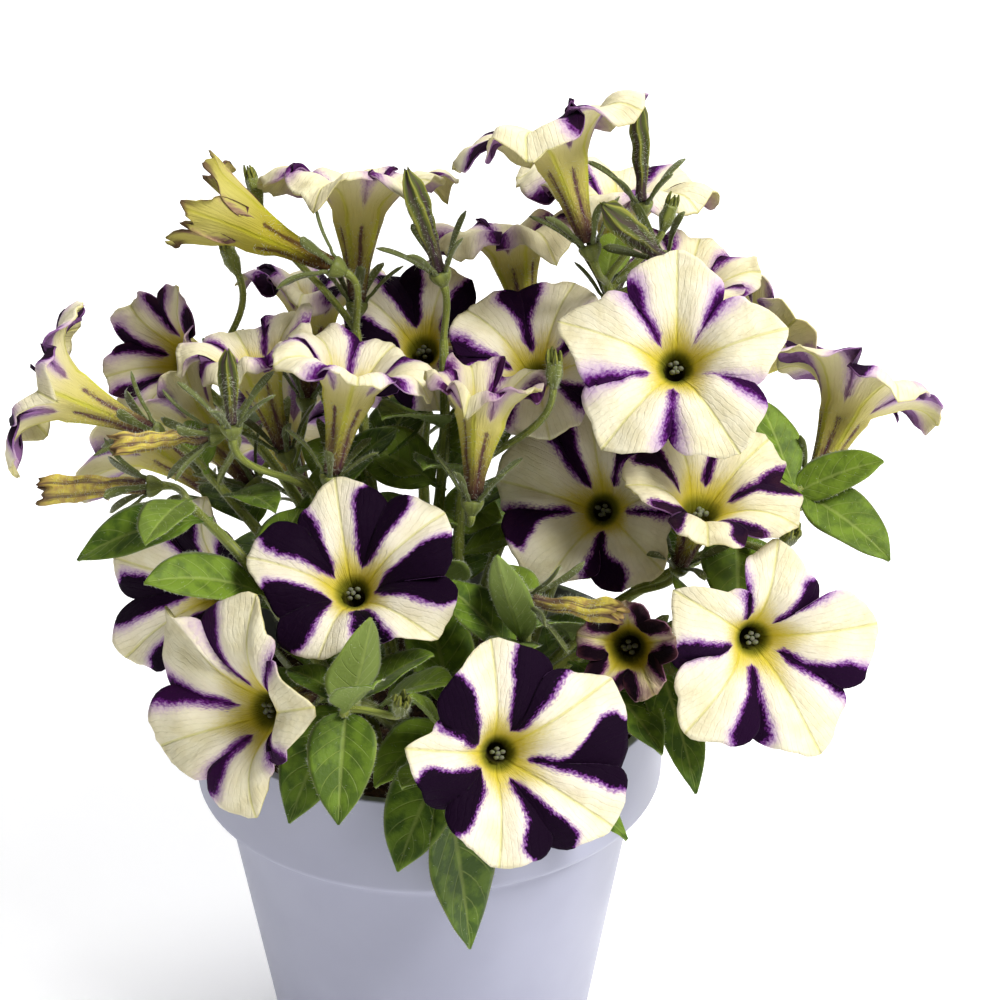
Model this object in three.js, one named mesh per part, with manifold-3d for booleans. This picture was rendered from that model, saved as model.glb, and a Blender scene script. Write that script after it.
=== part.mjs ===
// Potted petunia: a bushy plant with two-coloured star blooms in a tapered plastic pot.
// Millimetres, +Z up. The origin is the centre of the pot's flat base, and the plant's front faces -Y.
import * as THREE from 'three';
import { mergeVertices } from 'three/addons/utils/BufferGeometryUtils.js';
import Module from 'manifold-3d';

const wasm = await Module();
wasm.setup();

// Pot: a plain body, and a straight band that stands out round its top
const POT_HEIGHT = 115;
const RIM_RADIUS = 65.5;
const RIM_THICKNESS = 2.4;
const RIM_BEVEL = [0.5, 1];
const FOOT_BEVEL = 1.5;
const BAND_RADIUS = 64.5;
const BAND_HEIGHT = 28;
const BAND_SHOULDER = 4;
const BODY_TOP_RADIUS = 57.5;
const BASE_RADIUS = 43.7;
const POT_WALL = 1.6;
const FLOOR_THICKNESS = 2;
const POT_SIDES = 28;
const DRAIN_COUNT = 8;
const DRAIN_WIDTH = 7;
const DRAIN_RADIUS = 34;
const DRAIN_LENGTH = 9;

// Potting soil, with a plain hole for each stem
const SOIL_TOP = 103;
const SOIL_GAP = 0.4;
const SOIL_MOUND = 2.5;
const MOUND_TOP = [46, 0.4];
const HOLE_RADIUS = 3.2;
const HOLE_SIDES = 6;
const HOLE_DEPTH = 14;

// Stems and flower stalks
const STEM_RADIUS = 2.0;
const STEM_TIP_RADIUS = 1.25;
const STEM_SIDES = 5;
const STEM_SEGMENTS = 4;
const STEM_FOOT = SOIL_TOP - HOLE_DEPTH + SOIL_GAP;
const STALK_RADIUS = 0.95;
const STALK_SIDES = 5;

// Calyx and its five sepals
const CALYX_RADIUS = 3.0;
const CALYX_RIM = [0.7, 0.8];
const CALYX_HEIGHT = 4;
const SEPAL_COUNT = 5;
const SEPAL_LENGTH = 14;
const SEPAL_WIDTH = 2.8;
const SEPAL_THICKNESS = 0.9;
const SEPAL_SPREAD = 42;
const SEPAL_SHARE = 0.6;
const SEAT_GAP = 0.3;

// Corolla: a tube that widens to a throat, and a limb of five joined lobes
const LOBES = 5;
const TUBE_LENGTH = 31;
const TUBE_BASE_RADIUS = 2.3;
const THROAT_RADIUS = 5.2;
const THROAT_WIDENING = 0.5;
const FACE_REACH = 5;
const THROAT_DEPTH = 9;
const THROAT_PIT = 6;
const TUBE_WALL = 0.9;
const PETAL_THICKNESS = 1.0;
const LOBE_STATIONS = [-1, -0.72, 0, 0.72];
const LIMB_MIDDLE = 0.42;

// Rolled blooms
const ROLLED_SIDES = 7;
const ROLLED_FOOT_RADIUS = 2.0;

// Leaves
const LEAF_THICKNESS = 1.0;
const LEAF_FOLD = 0.22;
const PETIOLE_WIDTH = 1.6;
const LEAF_STATIONS = [0.12, 0.42, 0.74];
const LEAF_ROOT = 1.5;
const LEAF_ARCH = 0.16;

const DEGREES = Math.PI / 180;
const UP = new THREE.Vector3(0, 0, 1);

const POT_LOOK = { color: 0xb9b9cf, roughness: 0.45, metalness: 0 };
const SOIL_LOOK = { color: 0x3a2a20, roughness: 0.95, metalness: 0 };
const LEAF_LOOK = { color: 0x4f7d35, roughness: 0.7, metalness: 0 };
const PETAL_LOOK = { color: 0xe9dfb8, roughness: 0.6, metalness: 0 };
const FADED_LOOK = { color: 0xb5a52e, roughness: 0.7, metalness: 0 };

// Main stems: the foot in the soil, then the points that the stem runs through
const STEMS = {
  stem_front: [[6, -22], [8, -44, 126], [9, -60, 130], [4, -72, 128]],
  stem_front_left: [[-6, -23], [-12, -42, 128], [-17, -58, 140], [-19, -72, 145]],
  stem_left_low: [[-23, -8], [-27, -20, 128], [-36, -33, 150], [-46, -33, 168], [-62, -22, 180]],
  stem_left: [[-24, 3], [-38, 4, 145], [-50, -3, 168], [-58, -8, 182]],
  stem_crown_left: [[-9, 5], [-13, 8, 150], [-17, 8, 190], [-18, 7, 216]],
  stem_crown: [[0, 10], [2, 8, 150], [5, 2, 188], [5, 1, 216]],
  stem_crown_right: [[9, 4], [22, 14, 155], [48, 22, 192], [50, 20, 214], [47, 14, 226]],
  stem_right_high: [[24, 1], [38, 10, 150], [52, 12, 178], [62, 10, 196]],
  stem_right: [[23, -8], [48, -10, 140], [76, -12, 160], [98, -16, 180]],
  stem_front_right: [[19, -15], [40, -20, 132], [62, -24, 142], [76, -26, 152]],
  stem_front_middle: [[13, -21], [22, -36, 130], [25, -44, 145], [27, -48, 158]],
  stem_middle: [[4, -9], [8, -5, 145], [9, -4, 168], [11, -2, 182]],
  stem_middle_left: [[-7, -8], [-14, -8, 145], [-24, -11, 166], [-31, -13, 181]],
  stem_front_bloom: [[-14, -19], [-18, -22, 130], [-20, -21, 146], [-19, -16, 158]],
  stem_back_left: [[-15, 18], [-32, 34, 142], [-48, 40, 166], [-62, 36, 186]],
  stem_back: [[0, 24], [-2, 46, 140], [-2, 60, 162], [2, 64, 182]],
  stem_back_right: [[16, 18], [36, 34, 140], [56, 42, 162], [74, 40, 184]],
};

// Open blooms: stem, place on it, mouth centre, heading and rise of the face, turn of the lobes, limb radius,
// cup (forward slope), curl (edges rolled back), notch between lobes and reach of the throat's flare
const BLOOMS = {
  bloom_crown_right_face: ['stem_right_high', 0.9, [63, -28, 223], -93, 38, 9, 29, 0.02, 0.1, 0.2, 5],
  bloom_middle_face: ['stem_right_high', 0.35, [41, -16, 178], -105, 36, 18, 26, 0.02, 0.12, 0.2, 5],
  bloom_right_face: ['stem_front_right', 0.7, [88, -52, 152], -78, 20, 13, 28.5, 0.02, 0.12, 0.22, 5],
  bloom_front_face: ['stem_front', 0.35, [24, -84, 141], -76, 28, 33, 28.5, 0.02, 0.12, 0.18, 5],
  bloom_front_left_face: ['stem_front_bloom', 0.8, [-17, -44, 171], -92, 50, 33, 27, 0.02, 0.1, 0.18, 5],
  bloom_left_low: ['stem_left', 0.3, [-65, -12, 148], -128, 22, 8, 25, 0.05, 0.1, 0.2, 5],
  bloom_left_front: ['stem_front_left', 0.45, [-49, -62, 141], -132, 16, 0, 28.5, 0.1, 0.15, 0.24, 6],
  bloom_left_back: ['stem_back_left', 0.8, [-74, 33, 198], -140, 30, 10, 18, 0.35, 0.05, 0.3, 5],
  bloom_below_crown: ['stem_right', 0.4, [73, -32, 189], -60, 66, 20, 23, 0.15, 0.1, 0.3, 6],
  bloom_left_side: ['stem_left', 0.9, [-99, -9, 207], 176, 25, 20, 25, 0.2, 0.3, 0.25, 5.5],
  bloom_top: ['stem_crown_right', 0.95, [33, 10, 269], 134, 65, 30, 27, 0.25, 0.4, 0.25, 5.5],
  bloom_top_back: ['stem_crown_right', 0.7, [53, 49, 239], 60, 80, 18, 28, 0.25, 0.3, 0.25, 5.5],
  bloom_crown_left: ['stem_crown_left', 0.85, [-17, 25, 249], 84, 71, 0, 26, 0.25, 0.35, 0.22, 5.5],
  bloom_crown: ['stem_crown_right', 0.6, [22, 38, 232], 120, 70, 15, 24, 0.2, 0.4, 0.22, 5.5],
  bloom_right_side: ['stem_right', 0.9, [114, 8, 199], 52, 48, 0, 25, 0.25, 0.3, 0.25, 5.5],
  bloom_upper_left: ['stem_middle_left', 0.85, [-17, -16, 216], 30, 76, 10, 21, 0.3, 0.3, 0.25, 5.5],
  bloom_left_shoulder: ['stem_middle_left', 0.95, [-46, 6, 212], 165, 74, 0, 20, 0.25, 0.3, 0.25, 5.5],
  bloom_behind_left: ['stem_back_left', 0.5, [-31, 46, 212], 70, 74, 30, 22, 0.3, 0.3, 0.25, 5.5],
  bloom_dark_back: ['stem_back', 0.6, [-2, 21, 207], -95, 45, 0, 22, 0.15, 0.15, 0.2, 5],
  bloom_left_upper: ['stem_left', 0.7, [-69, 21, 189], 150, 38, 0, 17, 0.3, 0.1, 0.22, 6],
  bloom_young: ['stem_middle', 0.95, [16, -24, 214], 60, 78, 30, 16, 0.4, 0.3, 0.25, 5.5],
  bloom_middle_back: ['stem_crown_right', 0.35, [28, 2, 209], -100, 52, 0, 24, 0.1, 0.12, 0.2, 5],
  bloom_behind_crown: ['stem_right_high', 0.7, [71, 30, 224], -30, 75, 20, 19, 0.25, 0.2, 0.22, 6],
  bloom_right_back: ['stem_back_right', 0.9, [99, 42, 201], 22, 38, 0, 21, 0.25, 0.15, 0.22, 6],
  bloom_back_left_side: ['stem_back_left', 0.6, [-84, 52, 165], 150, 26, 40, 25, 0.15, 0.15, 0.2, 6],
  bloom_back_left: ['stem_back_left', 0.4, [-48, 78, 158], 116, 30, 10, 26, 0.08, 0.12, 0.2, 5],
  bloom_back_face: ['stem_back', 0.7, [-10, 94, 170], 97, 32, 25, 27, 0.05, 0.12, 0.2, 5],
  bloom_back_right: ['stem_back_right', 0.5, [58, 78, 158], 58, 30, 50, 26, 0.08, 0.12, 0.2, 5],
  bloom_back_right_side: ['stem_back_right', 0.7, [92, 50, 158], 20, 18, 15, 24, 0.12, 0.12, 0.2, 5],
  bloom_wilting_face: ['stem_front_right', 0.45, [51, -56, 154], -98, 24, 20, 12.5, 0.9, 0.1, 0.5, 5],
  bloom_wilting_top: ['stem_crown_left', 0.97, [-52, 10, 246], 170, 24, 10, 13, 1.3, 0.0, 0.5, 5],
};

// Rolled blooms, closed before opening or after fading: stem, place on it, foot, tip, thickness
const ROLLED = {
  rolled_left: ['stem_left_low', 0.95, [-73, -11, 178], [-101, -13, 178], 7.5],
  rolled_left_upper: ['stem_left', 0.85, [-55, -21, 197], [-79, -27, 197], 6],
  rolled_crown: ['stem_crown', 0.97, [4, 0, 234], [-4, 0, 261], 6.5],
  rolled_top: ['stem_crown_right', 0.97, [56, 11, 249], [55, 10, 275], 5],
  rolled_crown_right: ['stem_crown_right', 0.85, [61, 3, 236], [45, -12, 256], 7],
  rolled_pair: ['stem_middle_left', 0.9, [-48, -26, 203], [-48, -27, 223], 5],
  rolled_front: ['stem_front_middle', 0.9, [28, -52, 166], [50, -64, 169], 6],
};

// Small buds and dried calyces: stem, place on it, foot, tip, thickness
const BUDLETS = {
  bud_front: ['stem_front_left', 0.9, [-5, -73, 146], [-4, -77, 154], 4.5],
  bud_right: ['stem_right', 0.7, [92, -33, 172], [94, -38, 181], 5],
  bud_middle: ['stem_middle', 0.85, [33, -26, 213], [33, -27, 224], 4],
  bud_crown_left: ['stem_crown_left', 0.98, [-44, 30, 241], [-47, 31, 252], 3.5],
  bud_crown_left_low: ['stem_back_left', 0.98, [-50, 24, 224], [-54, 25, 234], 4],
  bud_top_right: ['stem_crown_right', 0.9, [62, 14, 240], [65, 14, 250], 3.5],
  bud_right_top: ['stem_right_high', 0.95, [84, 12, 210], [88, 10, 219], 4],
};

// Leaves with a place of their own: stem, place on it, tip, width, arch of the midrib, roll about it
const PLACED_LEAVES = [
  ['stem_front', 0.93, [12, -76, 78], 21, 6, 0],
  ['stem_front', 0.8, [-6, -81, 105], 17, 6, 10],
  ['stem_front', 0.3, [52, -68, 106], 20, 8, 0],
  ['stem_front', 0.45, [-12, -67, 121], 15, 6, 0],
  ['stem_front_left', 0.86, [-20, -86, 122], 15, 8, 0],
  ['stem_front_left', 0.74, [-33, -76, 116], 16, 8, 20],
  ['stem_front_left', 0.93, [-12, -68, 170], 14, -5, 60],
  ['stem_front_left', 0.35, [8, -52, 142], 14, 6, 0],
  ['stem_left_low', 0.6, [-69, -50, 170], 13, 6, 30],
  ['stem_left_low', 0.9, [-90, -24, 163], 13, 6, 30],
  ['stem_front_middle', 0.8, [19, -66, 186], 9, -3, 0],
  ['stem_front_middle', 0.4, [50, -60, 121], 17, 8, 0],
  ['stem_front_right', 0.3, [61, -56, 124], 16, 8, 0],
  ['stem_front_right', 0.6, [70, -56, 112], 13, 8, 0],
  ['stem_front_right', 0.9, [66, -36, 158], 12, 6, 20],
  ['stem_right', 0.97, [119, -34, 168], 14, 5, -20],
  ['stem_right', 0.93, [118, -19, 189], 10, 3, -40],
  ['stem_right', 0.75, [81, -34, 150], 17, 7, 0],
];

// Leaves placed by rule: first and last place on the stem, length at the foot and at the tip, turn from one
// to the next and from one try to the next, tries for each size, and the sizes that are tried
const LEAF_RULE = {
  first: 0.05, last: 0.98, lower: 38, upper: 24, turn: 137.5, retry: 47, tries: 18, sizes: [1, 0.7],
};

// Room kept round leaves: the points that stand for a leaf, how far balls keep off them, how much of a leaf's
// start doesn't count, and how far in front of a bloom's face stays free
const PROBE_PLACES = [0.15, 0.27, 0.39, 0.51, 0.63, 0.75, 0.87, 1];
const PROBE_SIDES = [-0.95, -0.45, 0, 0.45, 0.95];
const LEAF_BALL = 2.6;
const BALL_MARGIN = 1.6;
const LEAF_FREE = 7;
const FACE_CLEARANCE = 30;

// How many leaves each stem tries to place by the rule
const LEAF_COUNTS = {
  stem_front: 5, stem_front_left: 6, stem_left_low: 6, stem_left: 5, stem_crown_left: 7, stem_crown: 7,
  stem_crown_right: 7, stem_right_high: 6, stem_right: 6, stem_front_right: 6, stem_front_middle: 6,
  stem_middle: 8, stem_middle_left: 7, stem_front_bloom: 6, stem_back_left: 5, stem_back: 5,
  stem_back_right: 5,
};

const vec = (p) => new THREE.Vector3(p[0], p[1], p[2]);

// A unit vector from a heading about Z and a rise above the horizon, in degrees
function direction(heading, rise) {
  const h = heading * DEGREES;
  const r = rise * DEGREES;
  return new THREE.Vector3(Math.cos(h) * Math.cos(r), Math.sin(h) * Math.cos(r), Math.sin(r));
}

// Two unit vectors square to an axis: the first lies level
function crossFrame(axis) {
  const level = new THREE.Vector3().crossVectors(UP, axis);
  if (level.length() < 1e-6) level.set(1, 0, 0);
  level.normalize();
  const rise = new THREE.Vector3().crossVectors(axis, level);
  return [level, rise];
}

// Park and Miller's generator, so that every draw repeats
function drawer(seed) {
  let state = seed;
  return () => {
    state = (state * 16807) % 2147483647;
    return state / 2147483647;
  };
}

// Triangles between two rings, where one may hold twice the points of the other or be a single point
function stitch(faces, a, b) {
  const [few, many, turned] = a.length <= b.length ? [a, b, false] : [b, a, true];
  const put = (p, q, r) => faces.push(turned ? [p, r, q] : [p, q, r]);
  const n = few.length;
  if (n === 1) {
    many.forEach((m, i) => put(few[0], many[(i + 1) % many.length], m));
    return;
  }
  const step = many.length / n;
  for (let i = 0; i < n; i += 1) {
    const next = (i + 1) % n;
    const at = (k) => many[(i * step + k) % many.length];
    if (step === 1) {
      put(few[i], few[next], at(1));
      put(few[i], at(1), at(0));
    } else {
      put(few[i], at(1), at(0));
      put(few[i], few[next], at(1));
      put(few[next], at(2), at(1));
    }
  }
}

// A closed solid from points and faces, turned outwards if it is inside out
function solid(points, faces) {
  const volume = faces.reduce((sum, [a, b, c]) => {
    const cross = new THREE.Vector3().crossVectors(points[b], points[c]);
    return sum + points[a].dot(cross);
  }, 0);
  const outward = volume < 0 ? faces.map(([a, b, c]) => [a, c, b]) : faces;
  const geometry = new THREE.BufferGeometry();
  const places = points.flatMap((p) => p.toArray());
  geometry.setAttribute('position', new THREE.Float32BufferAttribute(places, 3));
  geometry.setIndex(outward.flat());
  return toManifold(geometry);
}

// A three.js geometry as a solid
function toManifold(geometry) {
  const bare = geometry.clone();
  bare.deleteAttribute('normal');
  bare.deleteAttribute('uv');
  const merged = mergeVertices(bare, 1e-4);
  return new wasm.Manifold(new wasm.Mesh({
    numProp: 3,
    vertProperties: merged.attributes.position.array,
    triVerts: new Uint32Array(merged.index.array),
  }));
}

// A solid turned about the upright axis from a profile of radius and height
function turnedSolid(profile) {
  const corners = profile.map(([radius, height]) => new THREE.Vector2(radius, height));
  const geometry = new THREE.LatheGeometry(corners, POT_SIDES).rotateX(Math.PI / 2);
  const turned = toManifold(geometry);
  if (turned.volume() > 0) return turned;
  const index = geometry.index.array;
  for (let i = 0; i < index.length; i += 3) [index[i + 1], index[i + 2]] = [index[i + 2], index[i + 1]];
  return toManifold(geometry);
}

// A solid skinned over rings of points, from one end to the other
function skin(rings) {
  const points = [];
  const numbered = rings.map((ring) => ring.map((p) => points.push(p) - 1));
  const faces = [];
  for (let i = 0; i + 1 < numbered.length; i += 1) stitch(faces, numbered[i], numbered[i + 1]);
  return solid(points, faces);
}

// A point from a centre, out at an angle in the plane of two cross directions
function around(centre, [level, rise], radius, angle) {
  return centre.clone()
    .addScaledVector(level, radius * Math.cos(angle))
    .addScaledVector(rise, radius * Math.sin(angle));
}

// A round section of a tube
function ringAt(centre, frame, radius, sides) {
  return Array.from({ length: sides }, (_, i) => around(centre, frame, radius, (i / sides) * 2 * Math.PI));
}

// Rings of a tube along a curve, turned as little as may be from one to the next
function tubeRings(curve, places, radiusAt, sides) {
  let level = null;
  return places.map((t) => {
    const axis = curve.getTangent(t).normalize();
    if (!level) [level] = crossFrame(axis);
    level.addScaledVector(axis, -level.dot(axis)).normalize();
    const rise = new THREE.Vector3().crossVectors(axis, level);
    return ringAt(curve.getPoint(t), [level, rise], radiusAt(t), sides);
  });
}

// The curve of a main stem, upright in its hole
function stemCurve(name) {
  const [[x, y], ...rest] = STEMS[name];
  const points = [[x, y, STEM_FOOT], [x, y, SOIL_TOP + 3], ...rest].map(vec);
  return new THREE.CatmullRomCurve3(points, false, 'centripetal');
}

const stemCurves = Object.fromEntries(Object.keys(STEMS).map((name) => [name, stemCurve(name)]));

// The curve's parameter at a place from 0 just above the soil to 1 at the tip
function aboveSoil(name, place) {
  const foot = 1 / STEMS[name].length;
  return foot + (1 - foot) * place;
}

// A point of a main stem, by its place above the soil
function onStem(name, place) {
  return stemCurves[name].getPoint(aboveSoil(name, place));
}

// How a bloom stands: its row's values, with its frame and its throat's radius
function bloomPose(row) {
  const [stem, place, mouth, heading, rise, turn, radius, cup, curl, notch, reach] = row;
  const axis = direction(heading, rise);
  const throat = THROAT_RADIUS + THROAT_WIDENING * (reach - FACE_REACH);
  return {
    stem, place, mouth: vec(mouth), axis, frame: crossFrame(axis), turn: turn * DEGREES,
    radius, cup, curl, notch, reach, throat,
  };
}

// The limb's edge radius, by the place across a lobe: 0 on its midrib and 1 in the notch
function limbEdge(bloom, across) {
  const side = Math.max(0, (Math.abs(across) - 0.55) / 0.45);
  return bloom.radius * (1 - bloom.notch * side ** 1.5);
}

// The limb's height over the mouth plane, by radius and place across a lobe
function limbHeight(bloom, radius, across) {
  const span = bloom.radius - bloom.throat;
  const share = Math.min(1, Math.max(0, (radius - bloom.throat) / span));
  const throat = -THROAT_DEPTH * Math.exp(-(radius - bloom.throat) / bloom.reach);
  const cupped = bloom.cup * span * share;
  const curled = -bloom.curl * span * share ** 3;
  const pleated = -0.06 * bloom.radius * share * Math.abs(across) ** 1.5;
  return throat + cupped + curled + pleated;
}

// A point of a bloom from its angle, radius and height over the mouth plane
function bloomPoint(bloom, angle, radius, height) {
  return around(bloom.mouth, bloom.frame, radius, angle).addScaledVector(bloom.axis, height);
}

// Angles round a bloom: each lobe's stations, from one notch to the next
function lobeAngles(bloom, stations) {
  const pitch = (2 * Math.PI) / LOBES;
  const angles = [];
  for (let lobe = 0; lobe < LOBES; lobe += 1) {
    stations.forEach((across) => angles.push({ across, angle: bloom.turn + pitch * (lobe + across / 2) }));
  }
  return angles;
}

// One corolla: the inside of the throat and limb, the edge, then the back of the limb and the tube
function corolla(bloom) {
  const fine = lobeAngles(bloom, LOBE_STATIONS);
  const coarse = lobeAngles(bloom, [-1, 0]);
  const sparse = lobeAngles(bloom, [-1]);
  const limbRing = (share, behind) => (behind ? coarse : fine).map(({ across, angle }) => {
    const edge = limbEdge(bloom, across);
    const radius = bloom.throat + (edge - bloom.throat) * share;
    const height = limbHeight(bloom, radius, across);
    const rise = limbHeight(bloom, radius + 0.5, across) - limbHeight(bloom, radius - 0.5, across);
    const slope = Math.atan(rise);
    return bloomPoint(bloom, angle, radius + behind * Math.sin(slope), height - behind * Math.cos(slope));
  });
  const tubeRing = (stations, radius, height) => (
    stations.map(({ angle }) => bloomPoint(bloom, angle, radius, height))
  );
  return skin([
    [bloomPoint(bloom, 0, 0, -THROAT_DEPTH - THROAT_PIT)],
    tubeRing(coarse, bloom.throat, -THROAT_DEPTH),
    limbRing(LIMB_MIDDLE, 0),
    limbRing(1, 0),
    limbRing(LIMB_MIDDLE, PETAL_THICKNESS),
    tubeRing(coarse, bloom.throat + TUBE_WALL, -THROAT_DEPTH - PETAL_THICKNESS),
    tubeRing(sparse, TUBE_BASE_RADIUS, -TUBE_LENGTH),
    [bloomPoint(bloom, 0, 0, -TUBE_LENGTH)],
  ]);
}

// One rolled bloom: a spindle
function rolledBloom([, , foot, tip, thickness]) {
  const from = vec(foot);
  const along = vec(tip).sub(from);
  const frame = crossFrame(along.clone().normalize());
  const sections = [
    [0, ROLLED_FOOT_RADIUS], [0.35, 0.36 * thickness], [0.72, 0.5 * thickness], [0.93, 0.3 * thickness],
  ];
  const rings = sections.map(([t, radius]) => (
    ringAt(from.clone().addScaledVector(along, t), frame, radius, ROLLED_SIDES)
  ));
  return skin([[from], ...rings, [from.clone().add(along)]]);
}

// The flower stalk's path, from the main stem to the back of the calyx
function stalkCurve(stem, place, seat, axis) {
  const start = onStem(stem, place);
  const back = seat.clone().addScaledVector(axis, -CALYX_HEIGHT - SEAT_GAP);
  const reach = back.distanceTo(start);
  const leave = back.clone().sub(start).normalize().addScaledVector(UP, 0.25).normalize();
  return new THREE.CubicBezierCurve3(
    start,
    start.clone().addScaledVector(leave, reach * 0.35),
    back.clone().addScaledVector(axis, -reach * 0.35),
    back,
  );
}

// Radius and height of a sepal's midline over the seat, by its place from root to tip
function sepalStation(place) {
  const lean = SEPAL_SPREAD * DEGREES;
  return {
    radius: CALYX_RADIUS + SEPAL_LENGTH * place * Math.sin(lean) * (0.6 + 0.4 * place),
    height: SEPAL_LENGTH * place * Math.cos(lean),
  };
}

// A flower stalk with its calyx: a cup whose rim carries five narrow sepals
function stalkWithCalyx({ stem, place, seat, axis }) {
  const curve = stalkCurve(stem, place, seat, axis);
  const rings = tubeRings(curve, [0, 0.5, 1], () => STALK_RADIUS, STALK_SIDES);
  const points = [curve.getPoint(0), ...rings.flat()];
  const numbered = rings.map((ring, k) => ring.map((_, i) => 1 + k * STALK_SIDES + i));
  const faces = [];
  stitch(faces, [0], numbered[0]);
  stitch(faces, numbered[0], numbered[1]);
  stitch(faces, numbered[1], numbered[2]);

  // The cup starts at the stalk's first point, as the stalk's own frame may be turned about its axis
  const frame = crossFrame(axis);
  const first = rings[2][0].clone().sub(curve.getPoint(1));
  const zero = Math.atan2(first.dot(frame[1]), first.dot(frame[0]));
  const add = (radius, angle, height) => {
    points.push(around(seat, frame, radius, zero + angle).addScaledVector(axis, height));
    return points.length - 1;
  };
  const pitch = (2 * Math.PI) / SEPAL_COUNT;
  const half = (SEPAL_SHARE * pitch) / 2;
  const middles = Array.from({ length: SEPAL_COUNT }, (_, i) => pitch * i + half);
  const edges = middles.flatMap((middle) => [middle - half, middle + half]);
  const outer = edges.map((angle) => add(CALYX_RADIUS, angle, -SEAT_GAP - CALYX_RIM[1]));
  const inner = middles.map((angle) => add(CALYX_RADIUS - CALYX_RIM[0], angle, -SEAT_GAP));
  stitch(faces, numbered[2], outer);
  middles.forEach((middle, i) => {
    const belly = sepalStation(0.5);
    const end = sepalStation(1);
    const width = SEPAL_WIDTH / 2 / belly.radius;
    const left = add(belly.radius, middle - width, belly.height);
    const right = add(belly.radius, middle + width, belly.height);
    const back = add(belly.radius + SEPAL_THICKNESS * 0.8, middle, belly.height - SEPAL_THICKNESS * 0.3);
    const tip = add(end.radius, middle, end.height);
    const [a, b, c] = [outer[2 * i], outer[2 * i + 1], inner[i]];
    faces.push([a, back, left], [a, b, back], [b, right, back], [left, back, tip], [back, right, tip]);
    faces.push([a, left, c], [c, left, right], [c, right, b], [left, tip, right]);
    const after = (i + 1) % SEPAL_COUNT;
    faces.push([b, outer[2 * after], inner[after]], [b, inner[after], c]);
  });
  stitch(faces, inner, [add(0, 0, -SEAT_GAP)]);
  return solid(points, faces);
}

// A small bud or dried calyx: a short spindle on its stalk
function budletSolid([stem, place, foot, tip, thickness]) {
  const from = vec(foot);
  const along = vec(tip).sub(from);
  const axis = along.clone().normalize();
  const start = onStem(stem, place);
  const curve = new THREE.CubicBezierCurve3(
    start,
    start.clone().lerp(from, 0.4).addScaledVector(UP, 2),
    from.clone().addScaledVector(axis, -0.3 * from.distanceTo(start)),
    from,
  );
  const stalk = tubeRings(curve, [0, 0.5, 1], () => STALK_RADIUS, STALK_SIDES);
  const middle = from.clone().addScaledVector(along, 0.45);
  const belly = ringAt(middle, crossFrame(axis), thickness / 2, STALK_SIDES);
  return skin([[start], ...stalk, belly, [from.clone().add(along)]]);
}

// The midrib of a leaf, from the stem to its tip
function leafMidrib(place, tip, arch) {
  const start = place.clone().addScaledVector(tip.clone().sub(place).normalize(), -LEAF_ROOT);
  const middle = start.clone().lerp(tip, 0.5).addScaledVector(UP, arch);
  return new THREE.QuadraticBezierCurve3(start, middle, tip);
}

// Half the width of a leaf by its place along the midrib: a thin petiole, then an oval blade
function leafHalfWidth(width, place) {
  if (place <= 0.14) return PETIOLE_WIDTH / 2 + place * 3;
  const t = (place - 0.14) / 0.86;
  return PETIOLE_WIDTH / 2 + 0.42 + (width / 2) * Math.sin(Math.PI * t ** 0.8) ** 0.85;
}

// Frame of a leaf at a place on its midrib
function leafFrame(midrib, place, roll) {
  const along = midrib.getTangent(Math.min(place, 0.999)).normalize();
  const side = new THREE.Vector3().crossVectors(along, UP);
  if (side.length() < 0.05) side.set(1, 0, 0);
  side.normalize();
  const face = new THREE.Vector3().crossVectors(side, along).normalize();
  const turn = roll * DEGREES;
  const turnedSide = side.clone().multiplyScalar(Math.cos(turn)).addScaledVector(face, Math.sin(turn));
  const turnedFace = face.clone().multiplyScalar(Math.cos(turn)).addScaledVector(side, -Math.sin(turn));
  return { centre: midrib.getPoint(place), side: turnedSide, face: turnedFace };
}

// One leaf: a blade folded a little along its midrib
function leafSolid(leaf) {
  const rings = LEAF_STATIONS.map((place) => {
    const { centre, side, face } = leafFrame(leaf.midrib, place, leaf.roll);
    const half = leafHalfWidth(leaf.width, place);
    const lift = place > 0.1 ? LEAF_FOLD * half : 0;
    const at = (s, f) => centre.clone().addScaledVector(side, s).addScaledVector(face, f);
    return [at(half, lift), at(0, LEAF_THICKNESS / 2), at(-half, lift), at(0, -LEAF_THICKNESS / 2)];
  });
  return skin([[leaf.midrib.getPoint(0)], ...rings, [leaf.midrib.getPoint(1)]]);
}

// Points over a leaf's blade that stand for it when leaves are set clear of other pieces
function leafProbes(leaf) {
  return PROBE_PLACES.flatMap((place) => {
    const { centre, side, face } = leafFrame(leaf.midrib, place, leaf.roll);
    const half = place < 1 ? leafHalfWidth(leaf.width, place) : 0;
    return (half > 3 ? PROBE_SIDES : [0]).map((s) => (
      centre.clone().addScaledVector(side, s * half).addScaledVector(face, Math.abs(s) * half * LEAF_FOLD)
    ));
  });
}

// Balls that stand for a stem, a bloom, a stalk with its calyx, or a straight bud
function stemBalls(name) {
  return Array.from({ length: 17 }, (_, i) => ({ centre: onStem(name, i / 16), radius: 3 }));
}

function bloomBalls(bloom) {
  const limb = [[0.95, 4], [0.72, 3], [0.45, 2], [0.2, 2]].flatMap(([share, each]) => (
    Array.from({ length: LOBES * each }, (_, k) => {
      const across = (2 * (k % each)) / each;
      const folded = across > 1 ? across - 2 : across;
      const angle = bloom.turn + (2 * Math.PI * k) / (LOBES * each);
      const radius = bloom.throat + (limbEdge(bloom, folded) - bloom.throat) * share;
      return { centre: bloomPoint(bloom, angle, radius, limbHeight(bloom, radius, folded)), radius: 3.6 };
    })
  ));
  const tube = [[-10, 6.4], [-15, 5.4], [-21, 4.6], [-27, 4.6]].map(([height, radius]) => (
    { centre: bloomPoint(bloom, 0, 0, height), radius }
  ));
  return [...limb, ...tube];
}

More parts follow.
